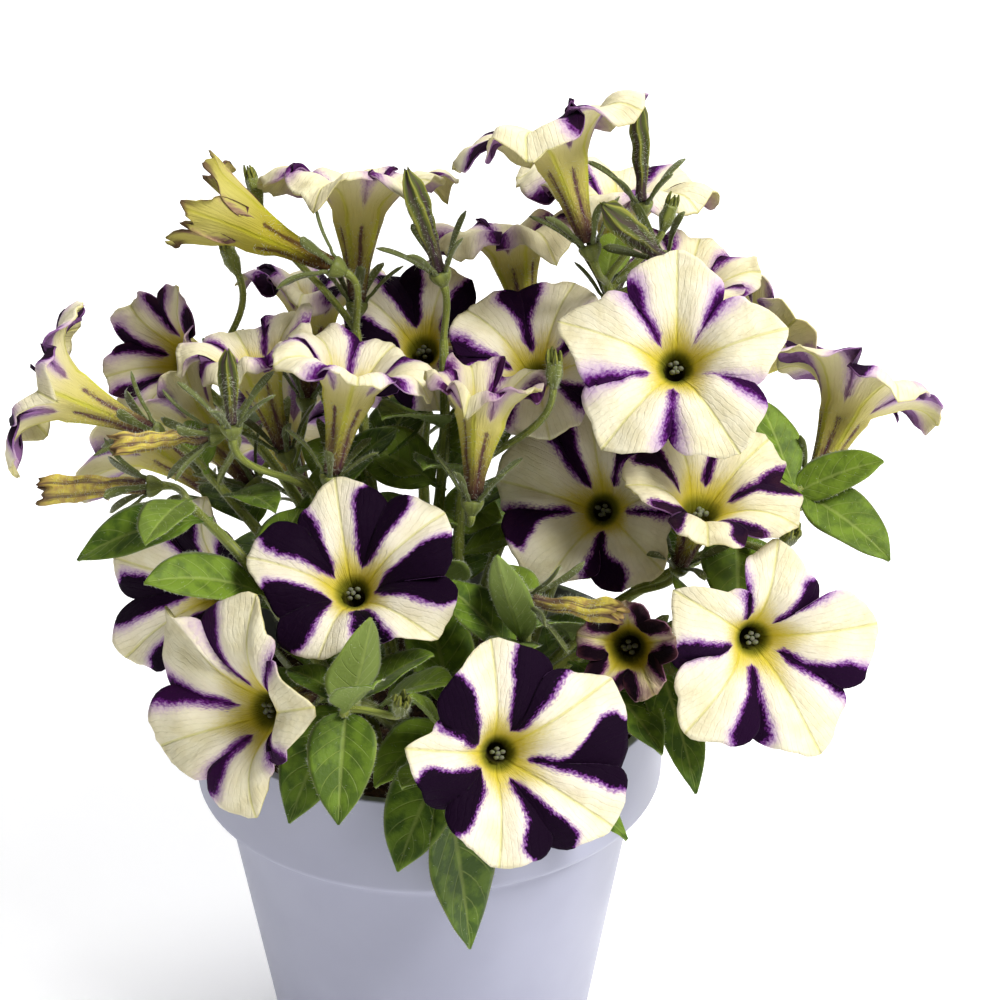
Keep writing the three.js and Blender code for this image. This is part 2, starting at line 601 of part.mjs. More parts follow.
function stalkBalls({ stem, place, seat, axis }) {
  const curve = stalkCurve(stem, place, seat, axis);
  const frame = crossFrame(axis);
  const stalk = [0.15, 0.3, 0.45, 0.6, 0.75, 0.9].map((t) => ({ centre: curve.getPoint(t), radius: 2.2 }));
  const sepals = Array.from({ length: 10 }, (_, k) => [0.45, 0.95].map((along) => {
    const { radius, height } = sepalStation(along);
    const centre = around(seat, frame, radius, (k / 10) * 2 * Math.PI).addScaledVector(axis, height);
    return { centre, radius: 1.6 };
  }));
  return [...stalk, ...sepals.flat()];
}

function straightBalls(foot, tip, places, radius) {
  return places.map((t) => ({ centre: vec(foot).lerp(vec(tip), t), radius }));
}

const blooms = Object.fromEntries(Object.entries(BLOOMS).map(([name, row]) => [name, bloomPose(row)]));

// Every stalk that ends in a calyx: one for each open bloom and each rolled one
const stalks = [
  ...Object.values(blooms).map(({ stem, place, axis, ...rest }) => (
    { stem, place, axis, seat: bloomPoint({ axis, ...rest }, 0, 0, -TUBE_LENGTH) }
  )),
  ...Object.values(ROLLED).map(([stem, place, foot, tip]) => (
    { stem, place, axis: vec(tip).sub(vec(foot)).normalize(), seat: vec(foot) }
  )),
];

const balls = [
  ...Object.keys(STEMS).flatMap(stemBalls),
  ...Object.values(blooms).flatMap(bloomBalls),
  ...stalks.flatMap(stalkBalls),
  ...Object.values(ROLLED).flatMap(([, , foot, tip, thickness]) => (
    straightBalls(foot, tip, [0.2, 0.45, 0.7, 0.95], thickness / 2 + 1.2)
  )),
  ...Object.values(BUDLETS).flatMap(([, , foot, tip]) => straightBalls(foot, tip, [0, 0.5, 1], 3)),
];

// Whether a leaf stands clear of what is already placed, of the pot and soil, and of the blooms' faces
function leafIsClear(leaf, ownStart) {
  const probes = leafProbes(leaf);
  const inPot = probes.some((p) => {
    const out = Math.hypot(p.x, p.y);
    const byRim = out > RIM_RADIUS - 6 && out < RIM_RADIUS + 3;
    return p.z < SOIL_TOP + 4 || (p.z < POT_HEIGHT + 3 && byRim);
  });
  if (inPot) return false;
  const overFace = probes.some((p) => Object.values(blooms).some((bloom) => {
    const from = p.clone().sub(bloom.mouth);
    const height = from.dot(bloom.axis);
    const off = from.addScaledVector(bloom.axis, -height).length();
    return height > -3 && height < FACE_CLEARANCE && off < bloom.radius * 0.9;
  }));
  if (overFace) return false;
  return !probes.some((p) => balls.some((ball) => {
    const near = ball.radius + BALL_MARGIN;
    return p.distanceToSquared(ball.centre) < near * near && ball.centre.distanceTo(ownStart) > LEAF_FREE;
  }));
}

// Adds a leaf to those placed, with its balls
function keepLeaf(placed, leaf) {
  placed.push(leaf);
  leafProbes(leaf).forEach((p) => balls.push({ centre: p, radius: LEAF_BALL }));
}

// Leaves with a place of their own come first, and the rest take the first place that is clear
function placeLeaves() {
  const placed = [];
  PLACED_LEAVES.forEach(([stem, place, tip, width, arch, roll]) => {
    keepLeaf(placed, { stem, midrib: leafMidrib(onStem(stem, place), vec(tip), arch), width, roll });
  });
  Object.entries(LEAF_COUNTS).forEach(([stem, count], order) => {
    const draw = drawer(101 + order * 37);
    const spin = draw() * 360;
    for (let i = 0; i < count; i += 1) {
      const place = LEAF_RULE.first + ((LEAF_RULE.last - LEAF_RULE.first) * i) / (count - 1);
      const start = onStem(stem, place);
      const full = (LEAF_RULE.lower + (LEAF_RULE.upper - LEAF_RULE.lower) * place) * (0.85 + 0.3 * draw());
      const slimness = 0.42 + 0.1 * draw();
      const rise = -5 + 40 * draw();
      for (let attempt = 0; attempt < LEAF_RULE.tries * LEAF_RULE.sizes.length; attempt += 1) {
        const length = full * LEAF_RULE.sizes[Math.floor(attempt / LEAF_RULE.tries)];
        const heading = spin + LEAF_RULE.turn * i + LEAF_RULE.retry * attempt;
        const lean = rise + (attempt % 3) * 12;
        const tip = start.clone().addScaledVector(direction(heading, lean), length);
        const midrib = leafMidrib(start, tip, length * LEAF_ARCH);
        const leaf = { stem, midrib, width: length * slimness, roll: 0 };
        if (leafIsClear(leaf, start)) {
          keepLeaf(placed, leaf);
          break;
        }
      }
    }
  });
  return placed;
}

const leaves = placeLeaves();

// A leafy stem: the main stem, its flower stalks with their calyces, its small buds and its leaves
function leafyStem(name) {
  const above = Array.from({ length: STEM_SEGMENTS + 1 }, (_, i) => aboveSoil(name, i / STEM_SEGMENTS));
  const radiusAt = (t) => STEM_RADIUS + (STEM_TIP_RADIUS - STEM_RADIUS) * t;
  const curve = stemCurves[name];
  const rings = tubeRings(curve, [0, ...above], radiusAt, STEM_SIDES);
  const end = curve.getPoint(1).addScaledVector(curve.getTangent(1), STEM_TIP_RADIUS);
  const parts = [
    skin([[curve.getPoint(0)], ...rings, [end]]),
    ...stalks.filter((s) => s.stem === name).map(stalkWithCalyx),
    ...Object.values(BUDLETS).filter((row) => row[0] === name).map(budletSolid),
    ...leaves.filter((leaf) => leaf.stem === name).map(leafSolid),
  ];
  return parts.reduce((all, part) => all.add(part));
}

// The pot: a shell turned from its profile, with slots that drain the floor's edge
function potSolid() {
  const bandFoot = POT_HEIGHT - BAND_HEIGHT;
  let pot = turnedSolid([
    [0, 0], [BASE_RADIUS - FOOT_BEVEL, 0], [BASE_RADIUS, FOOT_BEVEL],
    [BODY_TOP_RADIUS, bandFoot - BAND_SHOULDER], [BAND_RADIUS, bandFoot],
    [RIM_RADIUS, POT_HEIGHT - RIM_BEVEL[1]], [RIM_RADIUS - RIM_BEVEL[0], POT_HEIGHT],
    [RIM_RADIUS - RIM_THICKNESS, POT_HEIGHT], [BAND_RADIUS - POT_WALL, bandFoot + POT_WALL],
    [BODY_TOP_RADIUS - POT_WALL, bandFoot - BAND_SHOULDER],
    [BASE_RADIUS - POT_WALL, FLOOR_THICKNESS], [0, FLOOR_THICKNESS],
  ]);
  for (let i = 0; i < DRAIN_COUNT; i += 1) {
    const angle = ((i + 0.5) / DRAIN_COUNT) * 2 * Math.PI;
    const slot = new THREE.BoxGeometry(DRAIN_LENGTH, DRAIN_WIDTH, 3 * FLOOR_THICKNESS);
    slot.rotateZ(angle).translate(DRAIN_RADIUS * Math.cos(angle), DRAIN_RADIUS * Math.sin(angle), 0);
    pot = pot.subtract(toManifold(slot));
  }
  return pot;
}

// The soil: the pot's inside up to a low mound, with the stems' holes
function soilSolid() {
  const low = FLOOR_THICKNESS + SOIL_GAP;
  const shoulder = POT_HEIGHT - BAND_HEIGHT - BAND_SHOULDER;
  const bandInside = BAND_RADIUS - POT_WALL - 2 * SOIL_GAP;
  let soil = turnedSolid([
    [0, low], [BASE_RADIUS - POT_WALL - 3 * SOIL_GAP, low],
    [BODY_TOP_RADIUS - POT_WALL - 3 * SOIL_GAP, shoulder],
    [bandInside - SOIL_GAP, shoulder + BAND_SHOULDER + POT_WALL + 1],
    [bandInside, SOIL_TOP - SOIL_MOUND], [MOUND_TOP[0], SOIL_TOP - MOUND_TOP[1]], [0, SOIL_TOP],
  ]);
  Object.values(STEMS).forEach(([[x, y]]) => {
    const hole = new THREE.CylinderGeometry(HOLE_RADIUS, HOLE_RADIUS, 2 * HOLE_DEPTH, HOLE_SIDES);
    hole.rotateX(Math.PI / 2).translate(x, y, SOIL_TOP);
    soil = soil.subtract(toManifold(hole));
  });
  return soil;
}

// A solid as a three.js mesh
function meshOf(name, shape, look) {
  const made = shape.getMesh();
  const geometry = new THREE.BufferGeometry();
  geometry.setAttribute('position', new THREE.BufferAttribute(new Float32Array(made.vertProperties), 3));
  geometry.setIndex(new THREE.BufferAttribute(new Uint32Array(made.triVerts), 1));
  geometry.computeVertexNormals();
  const mesh = new THREE.Mesh(geometry, new THREE.MeshStandardMaterial(look));
  mesh.name = name;
  return mesh;
}

const plant = new THREE.Group();
plant.add(meshOf('pot', potSolid(), POT_LOOK));
plant.add(meshOf('soil', soilSolid(), SOIL_LOOK));
Object.keys(STEMS).forEach((name) => plant.add(meshOf(name, leafyStem(name), LEAF_LOOK)));
Object.entries(blooms).forEach(([name, bloom]) => {
  const faded = name.includes('wilting');
  plant.add(meshOf(name, corolla(bloom), faded ? FADED_LOOK : PETAL_LOOK));
});
Object.entries(ROLLED).forEach(([name, row]) => plant.add(meshOf(name, rolledBloom(row), FADED_LOOK)));

export default plant;
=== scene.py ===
"""Potted petunia: the looks of the plant, its blooms and its pot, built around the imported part.

Sizes are millimetres in the part's frame (+Z up, the plant's front towards -Y). They turn to metres
where a mesh, a lamp or the camera is made.
"""

import logging
import math
from collections.abc import Iterable, Iterator
from dataclasses import dataclass, field
from enum import Enum
from functools import partial

import bpy
import numpy as np
from bpy.types import Material, NodeSocket, NodeTree, Object
from mathutils import Matrix
from numpy import ndarray as Array
from numpy.random import Generator


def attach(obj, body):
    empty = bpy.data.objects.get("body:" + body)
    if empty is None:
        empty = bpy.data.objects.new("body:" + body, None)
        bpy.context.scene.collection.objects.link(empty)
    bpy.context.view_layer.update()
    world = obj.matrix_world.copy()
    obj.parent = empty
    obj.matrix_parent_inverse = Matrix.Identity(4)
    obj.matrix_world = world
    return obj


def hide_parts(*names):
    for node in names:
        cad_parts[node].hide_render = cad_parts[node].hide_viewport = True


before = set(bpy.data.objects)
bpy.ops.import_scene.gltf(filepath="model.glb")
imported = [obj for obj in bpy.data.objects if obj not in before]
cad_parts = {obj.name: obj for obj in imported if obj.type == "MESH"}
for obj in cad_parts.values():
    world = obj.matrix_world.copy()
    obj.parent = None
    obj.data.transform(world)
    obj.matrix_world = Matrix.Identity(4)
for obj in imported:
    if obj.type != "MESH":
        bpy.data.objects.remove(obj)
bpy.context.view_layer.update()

LOG = logging.getLogger("petunia")
MM = 0.001
ORIGIN = np.zeros(3)
UP = np.array([0.0, 0.0, 1.0])
TURN = 2 * math.pi
HAIR_WIDTH = 0.07
WATERY_IOR = 1.42

# Pot
POT_HEIGHT = 115
RIM_RADIUS = 65.5
BAND_RADIUS = 64.5
BAND_HEIGHT = 28
BAND_SHOULDER = 4
BODY_TOP_RADIUS = 57.5
BASE_RADIUS = 43.7
POT_WALL = 1.6
RIM_LIP = 0.8
FLOOR_THICKNESS = 2
DRAIN_COUNT = 8
DRAIN_INNER = 29.5
DRAIN_OUTER = 38.5
DRAIN_SHARE = 0.26

# Soil and stems
SOIL_TOP = 103
SOIL_GAP = 0.4
SOIL_MOUND = 2.5
STEM_FOOT = SOIL_TOP - 14 + SOIL_GAP
STEM_RADIUS = 2.0
STEM_TIP_RADIUS = 1.25
STALK_RADIUS = 0.95

# Calyx
CALYX_RADIUS = 3.0
CALYX_HEIGHT = 4
SEPAL_COUNT = 5
SEPAL_LENGTH = 14
SEPAL_SPREAD = math.radians(42)
SEAT_GAP = 0.3

# The calyx cup's section: height over the seat and radius
CALYX_CUP = (
    (-4.6, 1.1), (-3.9, 1.6), (-3.0, 2.3), (-2.0, 2.8), (-1.1, 3.0), (-0.5, 2.8), (-0.35, 2.2),
)

# Corolla
LOBES = 5
PITCH = TURN / LOBES
TUBE_LENGTH = 31
TUBE_BASE_RADIUS = 2.3
THROAT_RADIUS = 5.2
THROAT_WIDENING = 0.5
FACE_REACH = 5
THROAT_DEPTH = 9
TUBE_WALL = 0.9
TUBE_TAPER = TUBE_LENGTH - 10
OUTSIDE_STAR = -8.0

# Rings of a corolla's skin, in order: depth, radius and share down in the throat, shares of the limb's
# face and of its back, and depths round the tube
INSIDE_ROWS = ((-19, 1.9, -1.0), (-16, 2.5, -0.7), (-13.5, 2.9, -0.45), (-11.5, 3.6, -0.22))
FACE_ROWS = (
    0.0, 0.04, 0.09, 0.15, 0.21, 0.28, 0.35, 0.43, 0.51, 0.59, 0.67, 0.75, 0.82, 0.89, 0.95, 1.0,
)
BACK_ROWS = (1.0, 0.95, 0.88, 0.79, 0.69, 0.58, 0.47, 0.36, 0.25, 0.14, 0.05)
TUBE_ROWS = (-10, -11.5, -13.5, -15.5, -18, -20.5, -23, -25.5, -28, -31)

# Leaves
LEAF_FOLD = 0.22
PETIOLE_WIDTH = 1.6
PETIOLE_END = 0.14
LEAF_ROOT = 1.5
LEAF_VEINS = 8
VEIN_BOW = 0.24
VEIN_CURVE = 1.2

# Main stems: the foot in the soil, then the points that the stem runs through
STEMS = {
    "stem_front": [(6, -22), (8, -44, 126), (9, -60, 130), (4, -72, 128)],
    "stem_front_left": [(-6, -23), (-12, -42, 128), (-17, -58, 140), (-19, -72, 145)],
    "stem_left_low": [(-23, -8), (-27, -20, 128), (-36, -33, 150), (-46, -33, 168), (-62, -22, 180)],
    "stem_left": [(-24, 3), (-38, 4, 145), (-50, -3, 168), (-58, -8, 182)],
    "stem_crown_left": [(-9, 5), (-13, 8, 150), (-17, 8, 190), (-18, 7, 216)],
    "stem_crown": [(0, 10), (2, 8, 150), (5, 2, 188), (5, 1, 216)],
    "stem_crown_right": [(9, 4), (22, 14, 155), (48, 22, 192), (50, 20, 214), (47, 14, 226)],
    "stem_right_high": [(24, 1), (38, 10, 150), (52, 12, 178), (62, 10, 196)],
    "stem_right": [(23, -8), (48, -10, 140), (76, -12, 160), (98, -16, 180)],
    "stem_front_right": [(19, -15), (40, -20, 132), (62, -24, 142), (76, -26, 152)],
    "stem_front_middle": [(13, -21), (22, -36, 130), (25, -44, 145), (27, -48, 158)],
    "stem_middle": [(4, -9), (8, -5, 145), (9, -4, 168), (11, -2, 182)],
    "stem_middle_left": [(-7, -8), (-14, -8, 145), (-24, -11, 166), (-31, -13, 181)],
    "stem_front_bloom": [(-14, -19), (-18, -22, 130), (-20, -21, 146), (-19, -16, 158)],
    "stem_back_left": [(-15, 18), (-32, 34, 142), (-48, 40, 166), (-62, 36, 186)],
    "stem_back": [(0, 24), (-2, 46, 140), (-2, 60, 162), (2, 64, 182)],
    "stem_back_right": [(16, 18), (36, 34, 140), (56, 42, 162), (74, 40, 184)],
}


class Stripe(Enum):
    """How broad a bloom's dark star is.

    The values are the share of a half lobe that a stripe covers at its waist and at its shoulder, and
    how near to black its middle is.
    """

    FINE = (0.03, 0.12, 0.15)
    NARROW = (0.06, 0.2, 0.45)
    MEDIUM = (0.12, 0.36, 0.85)
    BROAD = (0.3, 0.58, 1.0)


FINE, NARROW, MEDIUM, BROAD = Stripe

# Open blooms: stem, place on it, mouth centre, heading and rise of the face, turn of the lobes, limb radius,
# cup, curl, notch, reach of the throat's flare, then the star, the pink blush and how faded the petals are
BLOOMS = {
    "bloom_crown_right_face": (
        "stem_right_high", 0.9, (63, -28, 223), -93, 38, 9,
        29, 0.02, 0.1, 0.2, 5, NARROW, 0.7, 0.0),
    "bloom_middle_face": (
        "stem_right_high", 0.35, (41, -16, 178), -105, 36, 18,
        26, 0.02, 0.12, 0.2, 5, MEDIUM, 0.35, 0.1),
    "bloom_right_face": (
        "stem_front_right", 0.7, (88, -52, 152), -78, 20, 13,
        28.5, 0.02, 0.12, 0.22, 5, MEDIUM, 0.5, 0.0),
    "bloom_front_face": (
        "stem_front", 0.35, (24, -84, 141), -76, 28, 33,
        28.5, 0.02, 0.12, 0.18, 5, BROAD, 0.3, 0.0),
    "bloom_front_left_face": (
        "stem_front_bloom", 0.8, (-17, -44, 171), -92, 50, 33,
        27, 0.02, 0.1, 0.18, 5, BROAD, 0.4, 0.0),
    "bloom_left_low": (
        "stem_left", 0.3, (-65, -12, 148), -128, 22, 8,
        25, 0.05, 0.1, 0.2, 5, BROAD, 0.6, 0.0),
    "bloom_left_front": (
        "stem_front_left", 0.45, (-49, -62, 141), -132, 16, 0,
        28.5, 0.1, 0.15, 0.24, 6, NARROW, 0.6, 0.1),
    "bloom_left_back": (
        "stem_back_left", 0.8, (-74, 33, 198), -140, 30, 10,
        18, 0.35, 0.05, 0.3, 5, MEDIUM, 0.9, 0.3),
    "bloom_below_crown": (
        "stem_right", 0.4, (73, -32, 189), -60, 66, 20,
        23, 0.15, 0.1, 0.3, 6, MEDIUM, 0.2, 0.25),
    "bloom_left_side": (
        "stem_left", 0.9, (-99, -9, 207), 176, 25, 20,
        25, 0.2, 0.3, 0.25, 5.5, MEDIUM, 0.7, 0.1),
    "bloom_top": (
        "stem_crown_right", 0.95, (33, 10, 269), 134, 65, 30,
        27, 0.25, 0.4, 0.25, 5.5, MEDIUM, 0.6, 0.15),
    "bloom_top_back": (
        "stem_crown_right", 0.7, (53, 49, 239), 60, 80, 18,
        28, 0.25, 0.3, 0.25, 5.5, NARROW, 0.6, 0.15),
    "bloom_crown_left": (
        "stem_crown_left", 0.85, (-17, 25, 249), 84, 71, 0,
        26, 0.25, 0.35, 0.22, 5.5, FINE, 0.6, 0.25),
    "bloom_crown": (
        "stem_crown_right", 0.6, (22, 38, 232), 120, 70, 15,
        24, 0.2, 0.4, 0.22, 5.5, NARROW, 0.8, 0.2),
    "bloom_right_side": (
        "stem_right", 0.9, (114, 8, 199), 52, 48, 0,
        25, 0.25, 0.3, 0.25, 5.5, MEDIUM, 0.7, 0.1),
    "bloom_upper_left": (
        "stem_middle_left", 0.85, (-17, -16, 216), 30, 76, 10,
        21, 0.3, 0.3, 0.25, 5.5, NARROW, 0.5, 0.1),
    "bloom_left_shoulder": (
        "stem_middle_left", 0.95, (-46, 6, 212), 165, 74, 0,
        20, 0.25, 0.3, 0.25, 5.5, NARROW, 0.5, 0.2),
    "bloom_behind_left": (
        "stem_back_left", 0.5, (-31, 46, 212), 70, 74, 30,
        22, 0.3, 0.3, 0.25, 5.5, MEDIUM, 1.0, 0.1),
    "bloom_dark_back": (
        "stem_back", 0.6, (-2, 21, 207), -95, 45, 0,
        22, 0.15, 0.15, 0.2, 5, BROAD, 0.4, 0.0),
    "bloom_left_upper": (
        "stem_left", 0.7, (-69, 21, 189), 150, 38, 0,
        17, 0.3, 0.1, 0.22, 6, NARROW, 0.3, 0.2),
    "bloom_young": (
        "stem_middle", 0.95, (16, -24, 214), 60, 78, 30,
        16, 0.4, 0.3, 0.25, 5.5, NARROW, 0.8, 0.35),
    "bloom_middle_back": (
        "stem_crown_right", 0.35, (28, 2, 209), -100, 52, 0,
        24, 0.1, 0.12, 0.2, 5, MEDIUM, 0.5, 0.05),
    "bloom_behind_crown": (
        "stem_right_high", 0.7, (71, 30, 224), -30, 75, 20,
        19, 0.25, 0.2, 0.22, 6, NARROW, 0.6, 0.2),
    "bloom_right_back": (
        "stem_back_right", 0.9, (99, 42, 201), 22, 38, 0,
        21, 0.25, 0.15, 0.22, 6, NARROW, 0.3, 0.1),
    "bloom_back_left_side": (
        "stem_back_left", 0.6, (-84, 52, 165), 150, 26, 40,
        25, 0.15, 0.15, 0.2, 6, NARROW, 0.5, 0.0),
    "bloom_back_left": (
        "stem_back_left", 0.4, (-48, 78, 158), 116, 30, 10,
        26, 0.08, 0.12, 0.2, 5, BROAD, 0.4, 0.0),
    "bloom_back_face": (
        "stem_back", 0.7, (-10, 94, 170), 97, 32, 25,
        27, 0.05, 0.12, 0.2, 5, MEDIUM, 0.5, 0.0),
    "bloom_back_right": (
        "stem_back_right", 0.5, (58, 78, 158), 58, 30, 50,
        26, 0.08, 0.12, 0.2, 5, BROAD, 0.3, 0.0),
    "bloom_back_right_side": (
        "stem_back_right", 0.7, (92, 50, 158), 20, 18, 15,
        24, 0.12, 0.12, 0.2, 5, NARROW, 0.5, 0.1),
    "bloom_wilting_face": (
        "stem_front_right", 0.45, (51, -56, 154), -98, 24, 20,
        12.5, 0.9, 0.1, 0.5, 5, BROAD, 0.8, 0.75),
    "bloom_wilting_top": (
        "stem_crown_left", 0.97, (-52, 10, 246), 170, 24, 10,
        13, 1.3, 0.0, 0.5, 5, FINE, 0.2, 1.0),
}

# Stars set half lobe by half lobe: the share covered at the waist and at the shoulder. The lobes count up
# anticlockwise from the bloom's turn, and each lobe's clockwise half comes first
STARS = {
    "bloom_crown_right_face": [
        (0.02, 0.04), (0.02, 0.06), (0.03, 0.18), (0.05, 0.22), (0.05, 0.06),
        (0.04, 0.2), (0.03, 0.06), (0.06, 0.12), (0.05, 0.12), (0.01, 0.2)],
    "bloom_middle_face": [
        (0.04, 0.12), (0.06, 0.3), (0.04, 0.12), (0.22, 0.46), (0.12, 0.14),
        (0.05, 0.2), (0.05, 0.52), (0.12, 0.26), (0.1, 0.5), (0.04, 0.1)],
    "bloom_right_face": [
        (0.1, 0.4), (0.02, 0.06), (0.07, 0.36), (0.1, 0.1), (0.12, 0.1),
        (0.2, 0.38), (0.02, 0.02), (0.16, 0.36), (0.14, 0.32), (0.06, 0.14)],
    "bloom_front_face": [
        (0.06, 0.68), (0.3, 0.3), (0.36, 0.66), (0.32, 0.56), (0.34, 0.2),
        (0.28, 0.66), (0.36, 0.42), (0.12, 0.46), (0.2, 0.5), (0.12, 0.32)],
    "bloom_front_left_face": [
        (0.34, 0.66), (0.28, 0.44), (0.34, 0.6), (0.2, 0.36), (0.38, 0.7),
        (0.34, 0.6), (0.3, 0.6), (0.28, 0.3), (0.3, 0.36), (0.34, 0.5)],
    "bloom_left_low": [
        (0.3, 0.4), (0.3, 0.4), (0.2, 0.3), (0.4, 0.8), (0.12, 0.2),
        (0.3, 0.66), (0.3, 0.46), (0.25, 0.5), (0.2, 0.4), (0.2, 0.3)],
    "bloom_left_front": [
        (0.1, 0.3), (0.08, 0.15), (0.05, 0.1), (0.1, 0.36), (0.02, 0.02),
        (0.07, 0.16), (0.07, 0.3), (0.12, 0.1), (0.12, 0.3), (0.04, 0.15)],
}

# Faces whose lobes are set one by one: how far the hole lies to the right and up, then for each lobe its
# midrib's angle and length, the lengths of its clockwise and its other shoulder, and the next notch's angle
# and length
FORMS = {
    "bloom_crown_right_face": ((0.4, -1.3), [
        (15, 29, 24, 22.5, 50, 17), (90, 26.5, 23, 24.5, 128, 17.5), (164, 30.5, 23.5, 25, 202, 21.5),
        (234, 30, 26.5, 26.5, 267, 20.5), (303, 30.5, 26, 27, 339, 20.5)]),
    "bloom_middle_face": ((4, -1.8), [
        (9, 22, 23, 20, 65, 18), (95, 26, 23.5, 23.5, 125, 19), (176, 24.5, 23.5, 22.5, 199, 20),
        (254, 26, 23.5, 22, 286, 21), (324, 29, 27, 25, 355, 23)]),
    "bloom_right_face": ((-1.9, 1.6), [
        (7, 29, 26, 25.5, 40, 17.5), (81, 28, 21, 24, 107, 15), (144, 29, 18.5, 26, 187, 22.5),
        (219, 30.5, 27, 26.5, 254, 19.5), (293, 31, 25.5, 26.5, 327, 22)]),
    "bloom_front_face": ((-2.8, 0), [
        (30, 30.5, 28.5, 24.5, 59, 19), (96, 28.5, 26, 24.5, 149, 19), (170, 27.5, 21.5, 26, 210, 20),
        (255, 28, 25, 27, 284, 22), (317, 31, 27, 29, 343, 26)]),
    "bloom_front_left_face": ((-1, -2.6), [
        (36, 27.5, 25, 24, 68, 19.5), (104, 26, 22.5, 21.5, 144, 15.5), (174, 27.5, 25, 23.5, 217, 22),
        (251, 25, 26.5, 21, 285, 18), (320, 28.5, 22, 27, 357, 23.5)]),
    "bloom_left_low": ((5, 2), [
        (16, 25, 23, 23, 50, 19), (94, 25.5, 21.5, 21, 133, 16), (177, 26, 24.5, 23, 205, 16),
        (239, 27.5, 25, 24, 272, 18), (310, 23, 21, 21, 342, 18)]),
    "bloom_left_front": ((4.5, -0.5), [
        (20, 29, 24, 22.5, 57, 17), (89, 30, 23.5, 26.5, 128, 21.5), (143, 31, 25.5, 27, 185, 20),
        (221, 27, 25.5, 23, 264, 17.5), (299, 28, 25.5, 20.5, 335, 16.5)]),
}

# Rolled blooms: stem, place on it, foot, tip, thickness, and whether it is spent rather than still to open
ROLLED = {
    "rolled_left": ("stem_left_low", 0.95, (-73, -11, 178), (-101, -13, 178), 7.5, True),
    "rolled_left_upper": ("stem_left", 0.85, (-55, -21, 197), (-79, -27, 197), 6, True),
    "rolled_crown": ("stem_crown", 0.97, (4, 0, 234), (-4, 0, 261), 6.5, False),
    "rolled_top": ("stem_crown_right", 0.97, (56, 11, 249), (55, 10, 275), 5, False),
    "rolled_crown_right": ("stem_crown_right", 0.85, (61, 3, 236), (45, -12, 256), 7, False),
    "rolled_pair": ("stem_middle_left", 0.9, (-48, -26, 203), (-48, -27, 223), 5, False),
    "rolled_front": ("stem_front_middle", 0.9, (28, -52, 166), (50, -64, 169), 6, True),
}

# Small buds and dried calyces: stem, place on it, foot, tip, thickness
BUDLETS = [
    ("stem_front_left", 0.9, (-5, -73, 146), (-4, -77, 154), 4.5),
    ("stem_right", 0.7, (92, -33, 172), (94, -38, 181), 5),
    ("stem_middle", 0.85, (33, -26, 213), (33, -27, 224), 4),
    ("stem_crown_left", 0.98, (-44, 30, 241), (-47, 31, 252), 3.5),
    ("stem_back_left", 0.98, (-50, 24, 224), (-54, 25, 234), 4),
    ("stem_crown_right", 0.9, (62, 14, 240), (65, 14, 250), 3.5),
    ("stem_right_high", 0.95, (84, 12, 210), (88, 10, 219), 4),
]

# Leaves with a place of their own: stem, place on it, tip, width, arch of the midrib, roll about it
PLACED_LEAVES = [
    ("stem_front", 0.93, (12, -76, 78), 21, 6, 0),
    ("stem_front", 0.8, (-6, -81, 105), 17, 6, 10),
    ("stem_front", 0.3, (52, -68, 106), 20, 8, 0),
    ("stem_front", 0.45, (-12, -67, 121), 15, 6, 0),
    ("stem_front_left", 0.86, (-20, -86, 122), 15, 8, 0),
    ("stem_front_left", 0.74, (-33, -76, 116), 16, 8, 20),
    ("stem_front_left", 0.93, (-12, -68, 170), 14, -5, 60),
    ("stem_front_left", 0.35, (8, -52, 142), 14, 6, 0),
    ("stem_left_low", 0.6, (-69, -50, 170), 13, 6, 30),
    ("stem_left_low", 0.9, (-90, -24, 163), 13, 6, 30),
    ("stem_front_middle", 0.8, (19, -66, 186), 9, -3, 0),
    ("stem_front_middle", 0.4, (50, -60, 121), 17, 8, 0),
    ("stem_front_right", 0.3, (61, -56, 124), 16, 8, 0),
    ("stem_front_right", 0.6, (70, -56, 112), 13, 8, 0),
    ("stem_front_right", 0.9, (66, -36, 158), 12, 6, 20),
    ("stem_right", 0.97, (119, -34, 168), 14, 5, -20),
    ("stem_right", 0.93, (118, -19, 189), 10, 3, -40),
    ("stem_right", 0.75, (81, -34, 150), 17, 7, 0),
]

# Small leaves deep between the stems, low at the back and the sides, and at the right stem's tip, as in
# PLACED_LEAVES
DEEP_LEAVES = [
    ("stem_crown", 0.5, (-20, 12, 180), 15, 4, 40),
    ("stem_crown", 0.6, (25, 10, 190), 15, 4, -40),
    ("stem_crown", 0.42, (20, 6, 160), 14, 4, -30),
    ("stem_crown_left", 0.55, (2, 14, 172), 14, 4, -30),
    ("stem_crown_left", 0.45, (-34, 14, 178), 14, 4, 30),
    ("stem_back", 0.25, (-24, 80, 120), 17, 6, 0),
    ("stem_back", 0.3, (22, 80, 118), 17, 6, 0),
    ("stem_back_left", 0.25, (-58, 62, 122), 17, 6, 0),
    ("stem_back_left", 0.3, (-34, 72, 121), 14, 5, 0),
    ("stem_back_right", 0.25, (62, 60, 120), 17, 6, 0),
    ("stem_back_right", 0.3, (38, 74, 119), 14, 5, 0),
    ("stem_right", 0.15, (68, 14, 120), 16, 6, 0),
    ("stem_right_high", 0.25, (60, 34, 126), 16, 6, 0),
    ("stem_left", 0.2, (-62, 34, 122), 16, 6, 0),
    ("stem_right", 0.97, (87, 0, 198), 10, 3, 0),
    ("stem_right", 0.8, (91, 9, 191), 12, 4, 0),
]

